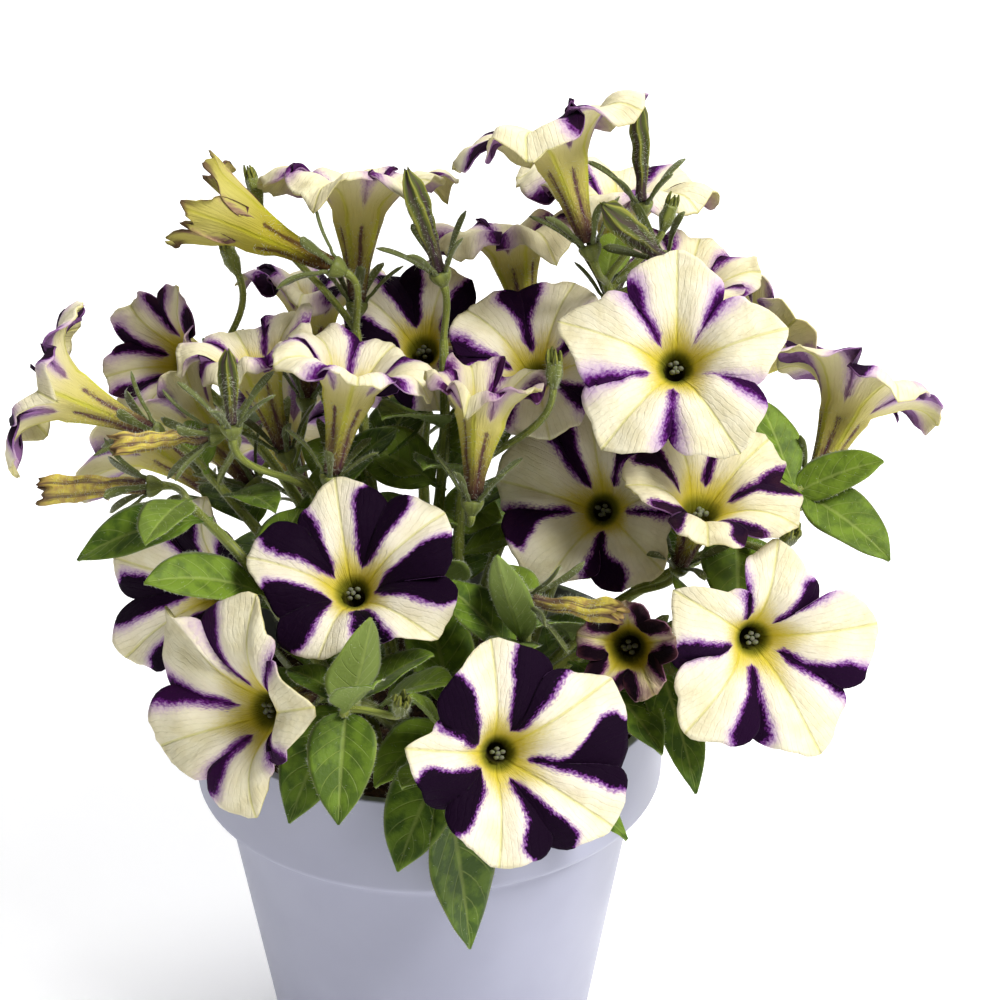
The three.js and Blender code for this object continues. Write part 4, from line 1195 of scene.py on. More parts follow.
@dataclass(frozen=True)
class MattePolypropylene:
    """Injection-moulded polypropylene: dyed through, with a fine spark-eroded grain that softens gloss.

    The grain of a real mould is about 0.1 mm, which is too fine to show, so it is drawn at 0.4 mm.
    """

    lavender: str = "9395a8"
    worn: str = "8f91a4"
    grain: float = 0.4

    def make(self) -> Material:
        """Builds the material.

        Returns:
            The material.
        """
        material, node = blank_material("matte_polypropylene")
        place = node("TexCoord", output=OBJECT_PLACE)
        grain = node("TexNoise", None, {"Vector": place, "Scale": 1 / (self.grain * MM), "Detail": 2.0})
        cloud = node("TexNoise", None, {"Vector": place, "Scale": 0.03 / MM, "Detail": 3.0})
        mixed = node("MapRange", EASED, [cloud, 0.35, 0.65])
        colour = node("Mix", COLOUR, {0: mixed, 6: self.lavender, 7: self.worn}, MIXED)
        rough = node("MapRange", None, [cloud, 0.3, 0.7, 0.4, 0.5])
        bump = node("Bump", None, {"Height": grain, "Strength": 0.12, "Distance": 0.05 * MM})
        return cover(material, node, {
            "Base Color": colour, "Roughness": rough, "IOR": 1.49, "Normal": bump, "Specular IOR Level": 0.5,
        })


@dataclass(frozen=True)
class PottingCompost:
    """Peat and bark compost with flecks of perlite: crumbly, dark where moist, never glossy."""

    peat: str = "2a1c14"
    bark: str = "4b3423"
    perlite: str = "cfc9bb"
    crumb: float = 1.6
    fleck: float = 3.0

    def make(self) -> Material:
        """Builds the material.

        Returns:
            The material.
        """
        material, node = blank_material("potting_compost")
        place = node("TexCoord", output=OBJECT_PLACE)
        crumb = node("TexNoise", None, {"Vector": place, "Scale": 1 / (self.crumb * MM), "Detail": 5.0})
        mixed = node("MapRange", EASED, [crumb, 0.35, 0.7])
        colour = node("Mix", COLOUR, {0: mixed, 6: self.peat, 7: self.bark}, MIXED)
        cell = node("TexVoronoi", None, {"Vector": place, "Scale": 1 / (self.fleck * MM)})
        white = node("MapRange", EASED, [cell, 0.16, 0.1])
        colour = node("Mix", COLOUR, {0: white, 6: colour, 7: self.perlite}, MIXED)
        bump = node("Bump", None, {"Height": crumb, "Strength": 0.9, "Distance": 1.2 * MM})
        return cover(material, node, {
            "Base Color": colour, "Roughness": 0.95, "Normal": bump, "Specular IOR Level": 0.2,
        })


@dataclass
class Finishes:
    """Every finish of the plant and its pot, made once."""

    petal_face: Material = field(default_factory=PetalTissue().make)
    petal_back: Material = field(default_factory=PetalTissue(back=True).make)
    faded: Material = field(default_factory=FadedPetal().make)
    leaf: Material = field(default_factory=LeafTissue().make)
    stem: Material = field(default_factory=StemTissue().make)
    down: Material = field(default_factory=PlantDown().make)
    pollen: Material = field(default_factory=Pollen().make)
    plastic: Material = field(default_factory=MattePolypropylene().make)
    compost: Material = field(default_factory=PottingCompost().make)


def place_piece(piece: Object, node: str) -> Object:
    """Stands a piece in for its CAD node.

    Args:
        piece: The finished piece.
        node: The CAD node that it replaces.

    Returns:
        The piece.
    """
    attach(piece, "root")
    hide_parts(node)
    return piece


@dataclass
class Pot:
    """The round tapered pot with its straight band and its drain slots."""

    segments: int = 160

    def outline(self) -> Array:
        """Draws the wall's section.

        Returns:
            Radius and height, from the floor's underside round to its top side.
        """
        foot = POT_HEIGHT - BAND_HEIGHT
        low = foot - BAND_SHOULDER
        corners = np.array([
            (DRAIN_OUTER, 0, 0), (BASE_RADIUS, 0, 1.5), (BODY_TOP_RADIUS, low, 2.5), (BAND_RADIUS, foot, 1.6),
            (RIM_RADIUS, POT_HEIGHT, 0.7), (RIM_RADIUS - POT_WALL - RIM_LIP, POT_HEIGHT, 0.5),
            (BAND_RADIUS - POT_WALL, foot + POT_WALL, 1.5), (BODY_TOP_RADIUS - POT_WALL, low, 1.5),
            (BASE_RADIUS - POT_WALL, FLOOR_THICKNESS, 1.5), (DRAIN_OUTER, FLOOR_THICKNESS, 0),
        ], float)
        points = [corners[0, :2]]
        for before, here, after in zip(corners, corners[1:], corners[2:]):
            middle, rounding = here[:2], here[2]
            start = middle - rounding * unit(middle - before[:2])
            end = middle + rounding * unit(after[:2] - middle)
            bend = BezierPath(start, middle, end)
            points += [bend.point(t) for t in np.linspace(0, 1, 5)]
        return np.array([*points, corners[-1, :2]])

    def build(self, finishes: Finishes) -> Object:
        """Turns the wall and lays the floor with its slots.

        Args:
            finishes: Where the plastic comes from.

        Returns:
            The pot.
        """
        floor = [(DRAIN_OUTER, FLOOR_THICKNESS), (DRAIN_INNER, FLOOR_THICKNESS), (DRAIN_INNER, 0)]
        section = np.vstack([self.outline()[:-1], floor])
        rings = spin(ORIGIN, UP, ring_angles(self.segments), section[:, :1], section[:, 1:])
        points = np.vstack([rings.reshape(-1, 3), [(0, 0, FLOOR_THICKNESS), ORIGIN]])
        ids = np.arange(rings[..., 0].size).reshape(rings.shape[:2])
        outer_low, (outer_top, inner_top, inner_low) = ids[0], ids[-3:]
        share = (ids[0] + 0.5) / self.segments * DRAIN_COUNT % 1
        slot = np.abs(share - 0.5) < DRAIN_SHARE / 2
        before = np.roll(slot, 1)
        side = np.stack([outer_low, inner_low, inner_top, outer_top], -1)
        draft = Draft()
        draft.add(points, [
            band(ids[:-3], ids[1:-2]).reshape(-1, 4), band(outer_top, inner_top)[~slot],
            band(inner_low, outer_low)[~slot], band(outer_top, outer_low)[slot][:, ::-1],
            band(inner_top, inner_low)[slot], side[slot & ~before], side[before & ~slot][:, ::-1],
            fan(inner_top, ids.size), fan(inner_low, ids.size + 1)[:, FLIPPED],
        ], 0)
        return place_piece(draft.finish("pot_moulded", [finishes.plastic]), "pot")


@dataclass
class Soil:
    """The potting soil: a crumbly mound that fills the pot."""

    segments: int = 160
    rings: int = 44
    crumbs: tuple[tuple[float, float, int], ...] = ((0.45, 11, 3), (0.4, 4.5, 4))

    def build(self, finishes: Finishes) -> Object:
        """Heaps the soil.

        Args:
            finishes: Where the compost comes from.

        Returns:
            The soil.
        """
        inside = BAND_RADIUS - POT_WALL - 2 * SOIL_GAP
        low = FLOOR_THICKNESS + SOIL_GAP
        radii = np.linspace(1.5, inside - 0.6, self.rings)
        heights = SOIL_TOP - 0.6 - SOIL_MOUND * smooth(radii, 40, inside)
        section = np.vstack([
            stacked(radii, heights),
            (inside, SOIL_TOP - SOIL_MOUND - 2), (inside - 0.5, POT_HEIGHT - BAND_HEIGHT + POT_WALL + 1),
            (BODY_TOP_RADIUS - POT_WALL - 1.2, POT_HEIGHT - BAND_HEIGHT - BAND_SHOULDER),
            (BASE_RADIUS - POT_WALL - 1, low), (4, low),
        ])
        grid = spin(ORIGIN, UP, ring_angles(self.segments), section[:, :1], section[:, 1:])
        top = grid[:self.rings]
        top[..., 2] += sum(size * wobble(top, length, seed) for size, length, seed in self.crumbs)
        draft = Draft()
        draft.add_closed(grid, 0)
        return place_piece(draft.finish("soil_heaped", [finishes.compost]), "soil")


@dataclass
class Corolla:
    """One open bloom: tube, throat and limb of five joined lobes, with anthers and stigma inside."""

    name: str
    mouth: Array
    axis: Array
    turn: float
    radius: float
    cup: float
    curl: float
    notch: float
    reach: float
    stripe: Stripe
    blush: float
    faded: float
    seed: int
    columns: int = 26
    thickness: float = 0.5
    hairs: int = 420
    hair_length: float = 1.5

    FACE, BACK, POLLEN, DOWN = range(4)

    @classmethod
    def from_row(cls, name: str, row: tuple, seed: int) -> "Corolla":
        """Reads a bloom from its row of the table."""
        _, _, mouth, heading, rise, turn, *form = row
        return cls(name, np.array(mouth, float), direction(heading, rise), math.radians(turn), *form, seed)

    @property
    def throat(self) -> float:
        """The throat's radius, wider where the funnel flares more."""
        return THROAT_RADIUS + THROAT_WIDENING * (self.reach - FACE_REACH)

    @property
    def seat(self) -> Array:
        """Where the tube sits in its calyx."""
        return self.mouth - TUBE_LENGTH * self.axis

    def edge(self, across: Array) -> Array:
        """The limb's plain edge radius by the place across a lobe: 0 on its midrib and 1 in the notch."""
        side = np.maximum(0, (np.abs(across) - 0.55) / 0.45)
        return self.radius * (1 - self.notch * side ** 1.5)

    def rim(
        self, lobe: Array, across: Array, rng: Generator
    ) -> tuple[Array, Array, Array]:
        """The rim's plain form.

        Args:
            lobe: Which lobe each column is on.
            across: Its place across the lobe: 0 on the midrib and -1 or 1 in a notch.
            rng: Where the lengths of lobes with no form of their own come from.

        Returns:
            Each column's angle, the span of its half lobe, and the rim's radius there.
        """
        aside = np.abs(across)
        if self.name not in FORMS:
            tips = rng.uniform(0.1, 1.7, LOBES)[lobe]
            lengths = rng.uniform(0.95, 1.04, LOBES)[lobe]
            lean = rng.uniform(-0.04, 0.04, LOBES)[lobe]
            outline = 1 - 0.02 * smooth(aside, 0.05, 0.4) + 0.018 * tips * np.exp(-((aside / 0.1) ** 2))
            edge = self.edge(across) * outline * (lengths + lean * across)
            return self.turn + PITCH * (lobe + across / 2), np.full(len(lobe), PITCH / 2), edge
        middle, length, early, late, turns, notches = np.array(FORMS[self.name][1], float).T
        after = across > 0
        span = np.where(after, (turns - middle)[lobe], (middle - np.roll(turns, 1))[lobe]) % 360
        shoulder = np.where(after, late[lobe], early[lobe])
        notch = np.where(after, notches[lobe], np.roll(notches, 1)[lobe])
        share = np.clip(aside / 0.6, 0, 1)
        crown = length[lobe] + (shoulder - length[lobe]) * (0.4 * share + 0.6 * smooth(share))
        edge = crown - (crown - 0.96 * notch) * np.maximum(0, (aside - 0.6) / 0.4) ** 2.4
        return np.radians(middle[lobe] + across * span), np.radians(span), edge

    def height(self, radius: Array, across: Array) -> Array:
        """Shapes the limb along its radius.

        Args:
            radius: The distance from the bloom's axis.
            across: The place across a lobe.

        Returns:
            The height over the mouth plane.
        """
        span = self.radius - self.throat
        share = np.clip((radius - self.throat) / span, 0, 1)
        funnel = -THROAT_DEPTH * np.exp(-(radius - self.throat) / self.reach)
        bent = self.cup * span * share - self.curl * span * share ** 3
        return funnel + bent - 0.06 * self.radius * share * np.abs(across) ** 1.5

    def at(self, angle: Array, radius: Array, height: Array) -> Array:
        """Points from their angle, radius and height over the mouth plane."""
        return spin(self.mouth, self.axis, angle, radius, height)

    def tube_radius(self, depth: float) -> float:
        """Widens the tube like a horn.

        Args:
            depth: The height over the mouth plane, below 0 in the tube.

        Returns:
            The tube's outer radius there.
        """
        share = (depth + TUBE_LENGTH) / TUBE_TAPER
        widened = 0.4 * share + 0.6 * abs(share) ** 2.6
        return TUBE_BASE_RADIUS + (self.throat + TUBE_WALL - TUBE_BASE_RADIUS) * widened

    def build(self, finishes: Finishes) -> Object:
        """Grows the bloom.

        Args:
            finishes: Where the petal finishes come from.

        Returns:
            The bloom.
        """
        rng = np.random.default_rng(self.seed)
        count = LOBES * self.columns
        column = np.arange(count)
        lobe = column // self.columns
        even = -1 + 2 * (column % self.columns) / self.columns
        across = np.sign(even) * (1 - (1 - np.abs(even)) ** 1.35)
        aside = np.abs(across)
        half = 2 * lobe + (across > 0)
        angle, span, edge = self.rim(lobe, across, rng)
        shaped = self.name in FORMS
        right, rise = FORMS[self.name][0] if shaped else (0.0, 0.0)
        level, up = cross_frame(self.axis)
        shift = right * level + rise * up
        trumpet = float(smooth(self.curl, 0.18, 0.3))
        frilled = 1 + 1.8 * self.faded
        ruffle = frilled + 1.1 * trumpet
        edge = edge * (1 + frilled * ripples(angle, (0.008, 0.006, 0.004), (9, 23, 41), rng))

        # At each notch one lobe laps over its neighbour
        sinus = (lobe + (across > 0) - 1) % LOBES
        bump = smooth(aside, 0.6, 0.95) * (1 - smooth(aside, 0.968, 1.0))
        lap = rng.uniform(0.6, 2.2, LOBES)[sinus] * np.sign(across) * bump
        stack = rng.choice([-0.6, 0.6], LOBES)[sinus] * np.sign(across) * bump

        # What lifts the limb off its plain form: tilted lobes, bulged halves, sunk midribs, a wavy rim
        lively = (1.5 if shaped else 1.0) * self.radius * ruffle
        tilt = rng.uniform(-1, 1, LOBES)[lobe] * 0.05 * lively
        twist = rng.uniform(-1, 1, LOBES)[lobe] * 0.05 * lively
        hems = rng.uniform(-1, 1, 2 * LOBES)[half] * 0.04 * lively
        rolls = rng.uniform(0, 1, LOBES)[lobe] * 0.12 * self.radius * (trumpet + 3 * max(0, self.faded - 0.5))
        waves = ripples(angle, (0.6, 0.35, 0.14), (7, 13, 29), rng)

        def relief(share: float, radius: Array) -> Array:
            """Lifts a ring of the limb off its plain form.

            Args:
                share: The ring's place from the throat to the rim.
                radius: Its radius at each column.

            Returns:
                The lift at each column.
            """
            inner = 1 - aside ** 4
            lifted = share ** 2 * (tilt * (1 - aside ** 2) + twist * np.sin(np.pi * across) * inner)
            bulge = 0.055 * self.radius * smooth(share, 0.05, 0.6) * np.sin(np.pi * aside) ** 2
            sunk = 0.5 * smooth(share, 0.0, 0.2) * np.exp(-((aside * radius * span / 0.8) ** 2))
            hem = hems * smooth(aside, 0.45, 0.95) * smooth(share, 0.4, 1)
            pleat = 0.1 * trumpet * self.radius * share * aside ** 1.5
            rolled = rolls * smooth(share, 0.7, 1) ** 2
            return lifted + bulge - sunk + hem + pleat - rolled + ruffle * waves * share ** 3 + stack * share

        # The star, half lobe by half lobe: where its stripes begin, how they widen, and where they taper off
        waist, shoulder, darkness = self.stripe.value
        spread = rng.uniform(0.7, 1.3, (2 * LOBES, 2))
        covers = np.array(STARS.get(self.name, spread * (waist, shoulder)))
        low, high = covers[half].T
        starts, rises, tails = (
            rng.uniform(*limits, 2 * LOBES)[half] for limits in ((0.0, 0.05), (0.55, 0.7), (0.0, 0.45))
        )

        def star(share: float, radius: Array) -> Array:
            """Marks the star on a ring of the limb.

            Args:
                share: The ring's place from the throat to the rim.
                radius: Its radius at each column.

            Returns:
                How far inside the star each column is, in mm.
            """
            begin = 0.36 - 0.28 * smooth(low, 0.1, 0.25)
            widened = np.clip((share - begin) / (rises + begin / 2 - begin), 0, 1)
            cover = low * smooth((share - starts) / 0.16) + (high - low) * (widened + smooth(widened)) / 2
            cover = cover * (1 - tails * smooth((share - 0.84) / 0.18))
            line = (0.3 + 0.2 * darkness) * smooth((share - starts) / 0.08) * smooth(cover, 0.0, 0.05)
            return radius * span * (cover - 1 + aside) + line - 1.3 * (1 - smooth(cover, 0.0, 0.04))

        rows, shapes, grids = [], [], []

        def lay(
            share: float, radius: Array | float, height: Array | float, run: Array | float, pull: float,
            dark: Array | float,
        ) -> None:
            """Lays one ring of the skin. Its measures are one for all columns or one for each.

            Args:
                share: Its place: 0 at the throat, 1 at the rim, and less than 0 in and round the tube.
                radius: Its radius.
                height: Its height over the mouth plane.
                run: Its distance along the skin, for the patterns.
                pull: How much of the throat's shift it takes.
                dark: How far inside the star it is, in mm.
            """
            moved = angle + lap * smooth(share, 0.2, 0.9) / radius
            rows.append(self.at(moved, radius, height) + pull * shift)
            shapes.append(stacked(dark, share, aside * radius * span))
            grids.append(stacked(angle * 14, run, self.seed * 7.3))

        def lay_limb(share: float, behind: float) -> None:
            """Lays one ring of the limb.

            Args:
                share: Its place from the throat to the rim.
                behind: How far it lies behind the face.
            """
            plain = self.throat + (edge - self.throat) * share
            slope = np.arctan(self.height(plain + 0.5, across) - self.height(plain - 0.5, across))
            radius = plain + behind * np.sin(slope)
            height = self.height(plain, across) + relief(share, plain) - behind * np.cos(slope)
            lay(share, radius, height, plain, 1 - share, star(share, radius))

        for depth, radius, share in INSIDE_ROWS:
            radius = self.tube_radius(depth) - 0.7 if trumpet > 0.5 else radius * self.throat / THROAT_RADIUS
            lay(share, radius, depth, 5.0 + share, (depth + TUBE_LENGTH) / TUBE_TAPER, OUTSIDE_STAR)
        for share in FACE_ROWS:
            lay_limb(share, 0.0)
        face_rows = len(rows)
        for share in BACK_ROWS:
            lay_limb(share, self.thickness + (TUBE_WALL - self.thickness) * (1 - share) ** 3)
        for depth in TUBE_ROWS:
            share = (depth + TUBE_LENGTH) / TUBE_TAPER
            ribs = (0.05 + 0.05 * trumpet) * np.cos(np.pi * across)
            radius = self.tube_radius(depth) * (1 + ribs * smooth(share, 0, 0.5))
            seam = radius * span * (aside - 1) + 0.55 - 0.5 * smooth(1 - share, 0.4, 1.0)
            lay(share - 1, radius, depth, 15.0 + depth, share, seam if share < 1 else star(0.0, radius))

        draft = Draft()
        grid = np.array(rows)
        sway = wobble(grid, 14, self.seed)[..., None] * self.axis
        grid = grid + (0.25 + 0.3 * trumpet + 1.1 * self.faded) * sway
        tint = np.array([self.blush, darkness, self.faded])
        points, quads = draft.add_closed(grid, 0, grid=np.array(grids), shape=np.array(shapes), tint=tint)
        (skin, _), (foot, _), (top, _) = draft.faces
        outer = np.arange(len(skin)) // count >= face_rows - 1
        draft.faces = [
            (skin[~outer], self.FACE), (skin[outer], self.BACK), (foot, self.FACE), (top, self.BACK),
        ]
        self.add_anthers(draft, shift, rng)
        tube = quads[np.arange(len(quads)) // count >= len(rows) - len(TUBE_ROWS)]
        roots, outward = scatter(points, tube, self.hairs, rng)
        grow_hairs(draft, roots, outward, self.hair_length, self.DOWN, rng)
        materials = [finishes.petal_face, finishes.petal_back, finishes.pollen, finishes.down]
        piece = draft.finish(self.name + "_petals", materials)
        return place_piece(piece, self.name)

    def add_anthers(self, draft: Draft, shift: Array, rng: Generator) -> None:
        """Adds five anthers round a stigma, down in the throat.

        Args:
            draft: The bloom's mesh.
            shift: How far the throat lies from the limb's middle.
            rng: Where the draws come from.
        """
        heights = np.linspace(-1, 1, 7)[:, None]
        ring, around = np.sqrt(1 - (0.98 * heights) ** 2), ring_angles(10)
        ball = stacked(ring * np.cos(around), ring * np.sin(around), heights)
        ways = np.array([*cross_frame(self.axis), self.axis])
        for k in range(LOBES + 1):
            stigma = k == LOBES
            out = 0.0 if stigma else rng.uniform(1.0, 1.6)
            turn = self.turn + PITCH * (k + rng.uniform(-0.3, 0.3))
            size = np.array([0.7, 0.7, 0.6]) if stigma else np.array([0.8, 0.6, 1.0]) * rng.uniform(0.85, 1.1)
            low = -11.2 + rng.uniform(-0.5, 0.5) + (0.4 if stigma else 0.0)
            centre = self.at(turn, out, low) + 0.95 * shift
            draft.add_closed(centre + (ball * size) @ ways, self.POLLEN)


@dataclass
class RolledCorolla:
    """One rolled bloom: five twisted folds, drawn to a point in bud, and blunt and ragged when spent."""

    name: str
    foot: Array
    tip: Array
    thickness: float
    spent: bool
    seed: int
    rows: int = 40
    sides: int = 60
    hairs: int = 420
    hair_length: float = 1.3

    def outline(self) -> tuple[Array, Array]:
        """Draws the bloom's section. A spent bloom's end turns inwards.

        Returns:
            The rings' places along the bloom and their mean radii.
        """
        if self.spent:
            t = np.concatenate([np.linspace(0, 1, self.rows - 5), (0.99, 0.96, 0.92, 0.86, 0.8)])
            marks, sizes = (0, 0.1, 0.35, 0.6, 0.85, 1), [0.3, 0.26, 0.33, 0.42, 0.5, 0.44]
        else:
            t = np.linspace(0, 1, self.rows)
            marks, sizes = (0, 0.12, 0.4, 0.7, 0.88, 0.97, 1), [0.3, 0.26, 0.38, 0.5, 0.4, 0.2, 0.08]
        radii = np.interp(np.minimum(t, 1), marks, np.array(sizes) * self.thickness)
        radii = np.convolve(np.pad(radii, 2, mode="edge"), (0.1, 0.2, 0.4, 0.2, 0.1), "valid")
        if self.spent:
            radii[-5:] = radii[-6] * np.array([0.86, 0.72, 0.56, 0.36, 0.14])
        return t, radii

    def build(self, finishes: Finishes) -> Object:
        """Rolls the bloom.

        Args:
            finishes: Where the faded petal comes from.

        Returns:
            The rolled bloom.
        """
        rng = np.random.default_rng(self.seed)
        along = self.tip - self.foot
        length = np.linalg.norm(along)
        axis = along / length
        t, plain = (values[:, None] for values in self.outline())
        angle = ring_angles(self.sides)
        twist = rng.uniform(0.5, 0.9) if self.spent else rng.uniform(1.1, 1.7)
        phase = LOBES * angle + twist * t * TURN / 3 + rng.uniform(0, TURN)
        phase = phase + 0.5 * np.sin(2 * angle + 5 * t + rng.uniform(0, TURN))
        fold = 1 - 2 * np.abs(np.sin(phase / 2)) ** 0.8
        depth, tear, drop, sag = (0.16, 1.0, 1.2, 0.5) if self.spent else (0.2, 0.5, 0.3, 0.25)
        radius = plain * (1 + depth * fold * smooth(t, 0.1, 0.5))
        ragged = smooth(t, 0.72, 1.0) * ripples(angle, (1, 0.7), (3, 7), rng)
        height = t * length + tear * ragged - drop * smooth(t, 0.5, 0.9)
        grid = spin(self.foot, axis, angle, radius, height)
        grid = grid + sag * wobble(grid, 7, self.seed)[..., None] * cross_frame(axis)[1]
        shape = stacked(fold, t, float(self.spent))
        pattern = stacked(angle * self.thickness / 2, t * length, self.seed * 3.1)
        draft = Draft()
        points, quads = draft.add_closed(grid, 0, shape=shape, grid=pattern)
        roots, outward = scatter(points, quads[:len(quads) * 3 // 4], self.hairs, rng)
        grow_hairs(draft, roots, outward, self.hair_length, 1, rng)
        piece = draft.finish(self.name + "_petals", [finishes.faded, finishes.down])
        return place_piece(piece, self.name)


@dataclass
class Leaf:
    """A leaf's form: its midrib, width and roll."""

    stem: str
    midrib: BezierPath
    width: float
    roll: float

    @classmethod
    def grow(
        cls, stem: str, place: Array, tip: Array, width: float, arch: float, roll: float
    ) -> "Leaf":
        """Runs a leaf's midrib from its place on the stem to its tip.

        Args:
            stem: The stem's name.
            place: The point that it grows from.
            tip: Its tip.
            width: Its width.
            arch: How far its midrib is lifted half way.
            roll: Its turn about the midrib, in degrees.

        Returns:
            The leaf.
        """
        start = place - LEAF_ROOT * unit(tip - place)
        middle = (start + tip) / 2 + arch * UP
        return cls(stem, BezierPath(start, middle, tip), width, roll)

    def half_width(self, place: float) -> float:
        """Half the leaf's width: a thin petiole, then an oval blade.

        Args:
            place: The place along the midrib.

        Returns:
            The half width there.
        """
        if place <= PETIOLE_END:
            return PETIOLE_WIDTH / 2 + place * 3
        t = (place - PETIOLE_END) / (1 - PETIOLE_END)
        return PETIOLE_WIDTH / 2 + 0.42 + self.width / 2 * math.sin(math.pi * t ** 0.8) ** 0.85

    def stand(self, place: float) -> tuple[Array, Array, Array]:
        """How the blade stands at a place on the midrib.

        Args:
            place: The place along the midrib.

        Returns:
            Centre, side and face direction of the blade.
        """
        along = self.midrib.tangent(min(place, 0.999))
        side = np.cross(along, UP)
        side = np.array([1.0, 0, 0]) if np.linalg.norm(side) < 0.05 else unit(side)
        face = unit(np.cross(side, along))
        turn = math.radians(self.roll)
        return (self.midrib.point(place), side * math.cos(turn) + face * math.sin(turn),
                face * math.cos(turn) - side * math.sin(turn))

    def probes(self) -> Array:
        """Points that stand for the blade while leaves look for room.

        Returns:
            The points, in rows across the blade.
        """
        points = []
        for place in PROBE_PLACES:
            centre, side, face = self.stand(place)
            half = self.half_width(place) if place < 1 else 0.0
            for s in (-0.95, -0.45, 0, 0.45, 0.95) if half > 3 else (0,):
                points.append(centre + s * half * side + abs(s) * half * LEAF_FOLD * face)
        return np.array(points)


@dataclass
class Stalk:
    """A flower stalk: from its place on the stem to the back of a calyx."""

    stem: str
    place: float
    seat: Array
    axis: Array

    def path(self, start: Array) -> BezierPath:
        """Runs the stalk.

        Args:
            start: Its start on the stem.

        Returns:
            Its path.
        """
        back = self.seat - (CALYX_HEIGHT + SEAT_GAP) * self.axis
        reach = float(np.linalg.norm(back - start))
        leave = unit(unit(back - start) + 0.25 * UP)
        return BezierPath(start, start + 0.35 * reach * leave, back - 0.35 * reach * self.axis, back)


def sepal_station(place: float | Array) -> tuple[Array, Array]:
    """Radius and height of a sepal's midline over the seat, by its place from root to tip."""
    radius = CALYX_RADIUS + SEPAL_LENGTH * place * math.sin(SEPAL_SPREAD) * (0.6 + 0.4 * place)
    return radius, SEPAL_LENGTH * place * math.cos(SEPAL_SPREAD)


def park_miller(seed: int) -> Iterator[float]:
    """Yields the same draws from 0 to 1 for the same seed.

    Args:
        seed: Which draws they are.

    Yields:
        The next draw.
    """
    state = seed
    while True:
        state = state * 16807 % 2147483647
        yield state / 2147483647


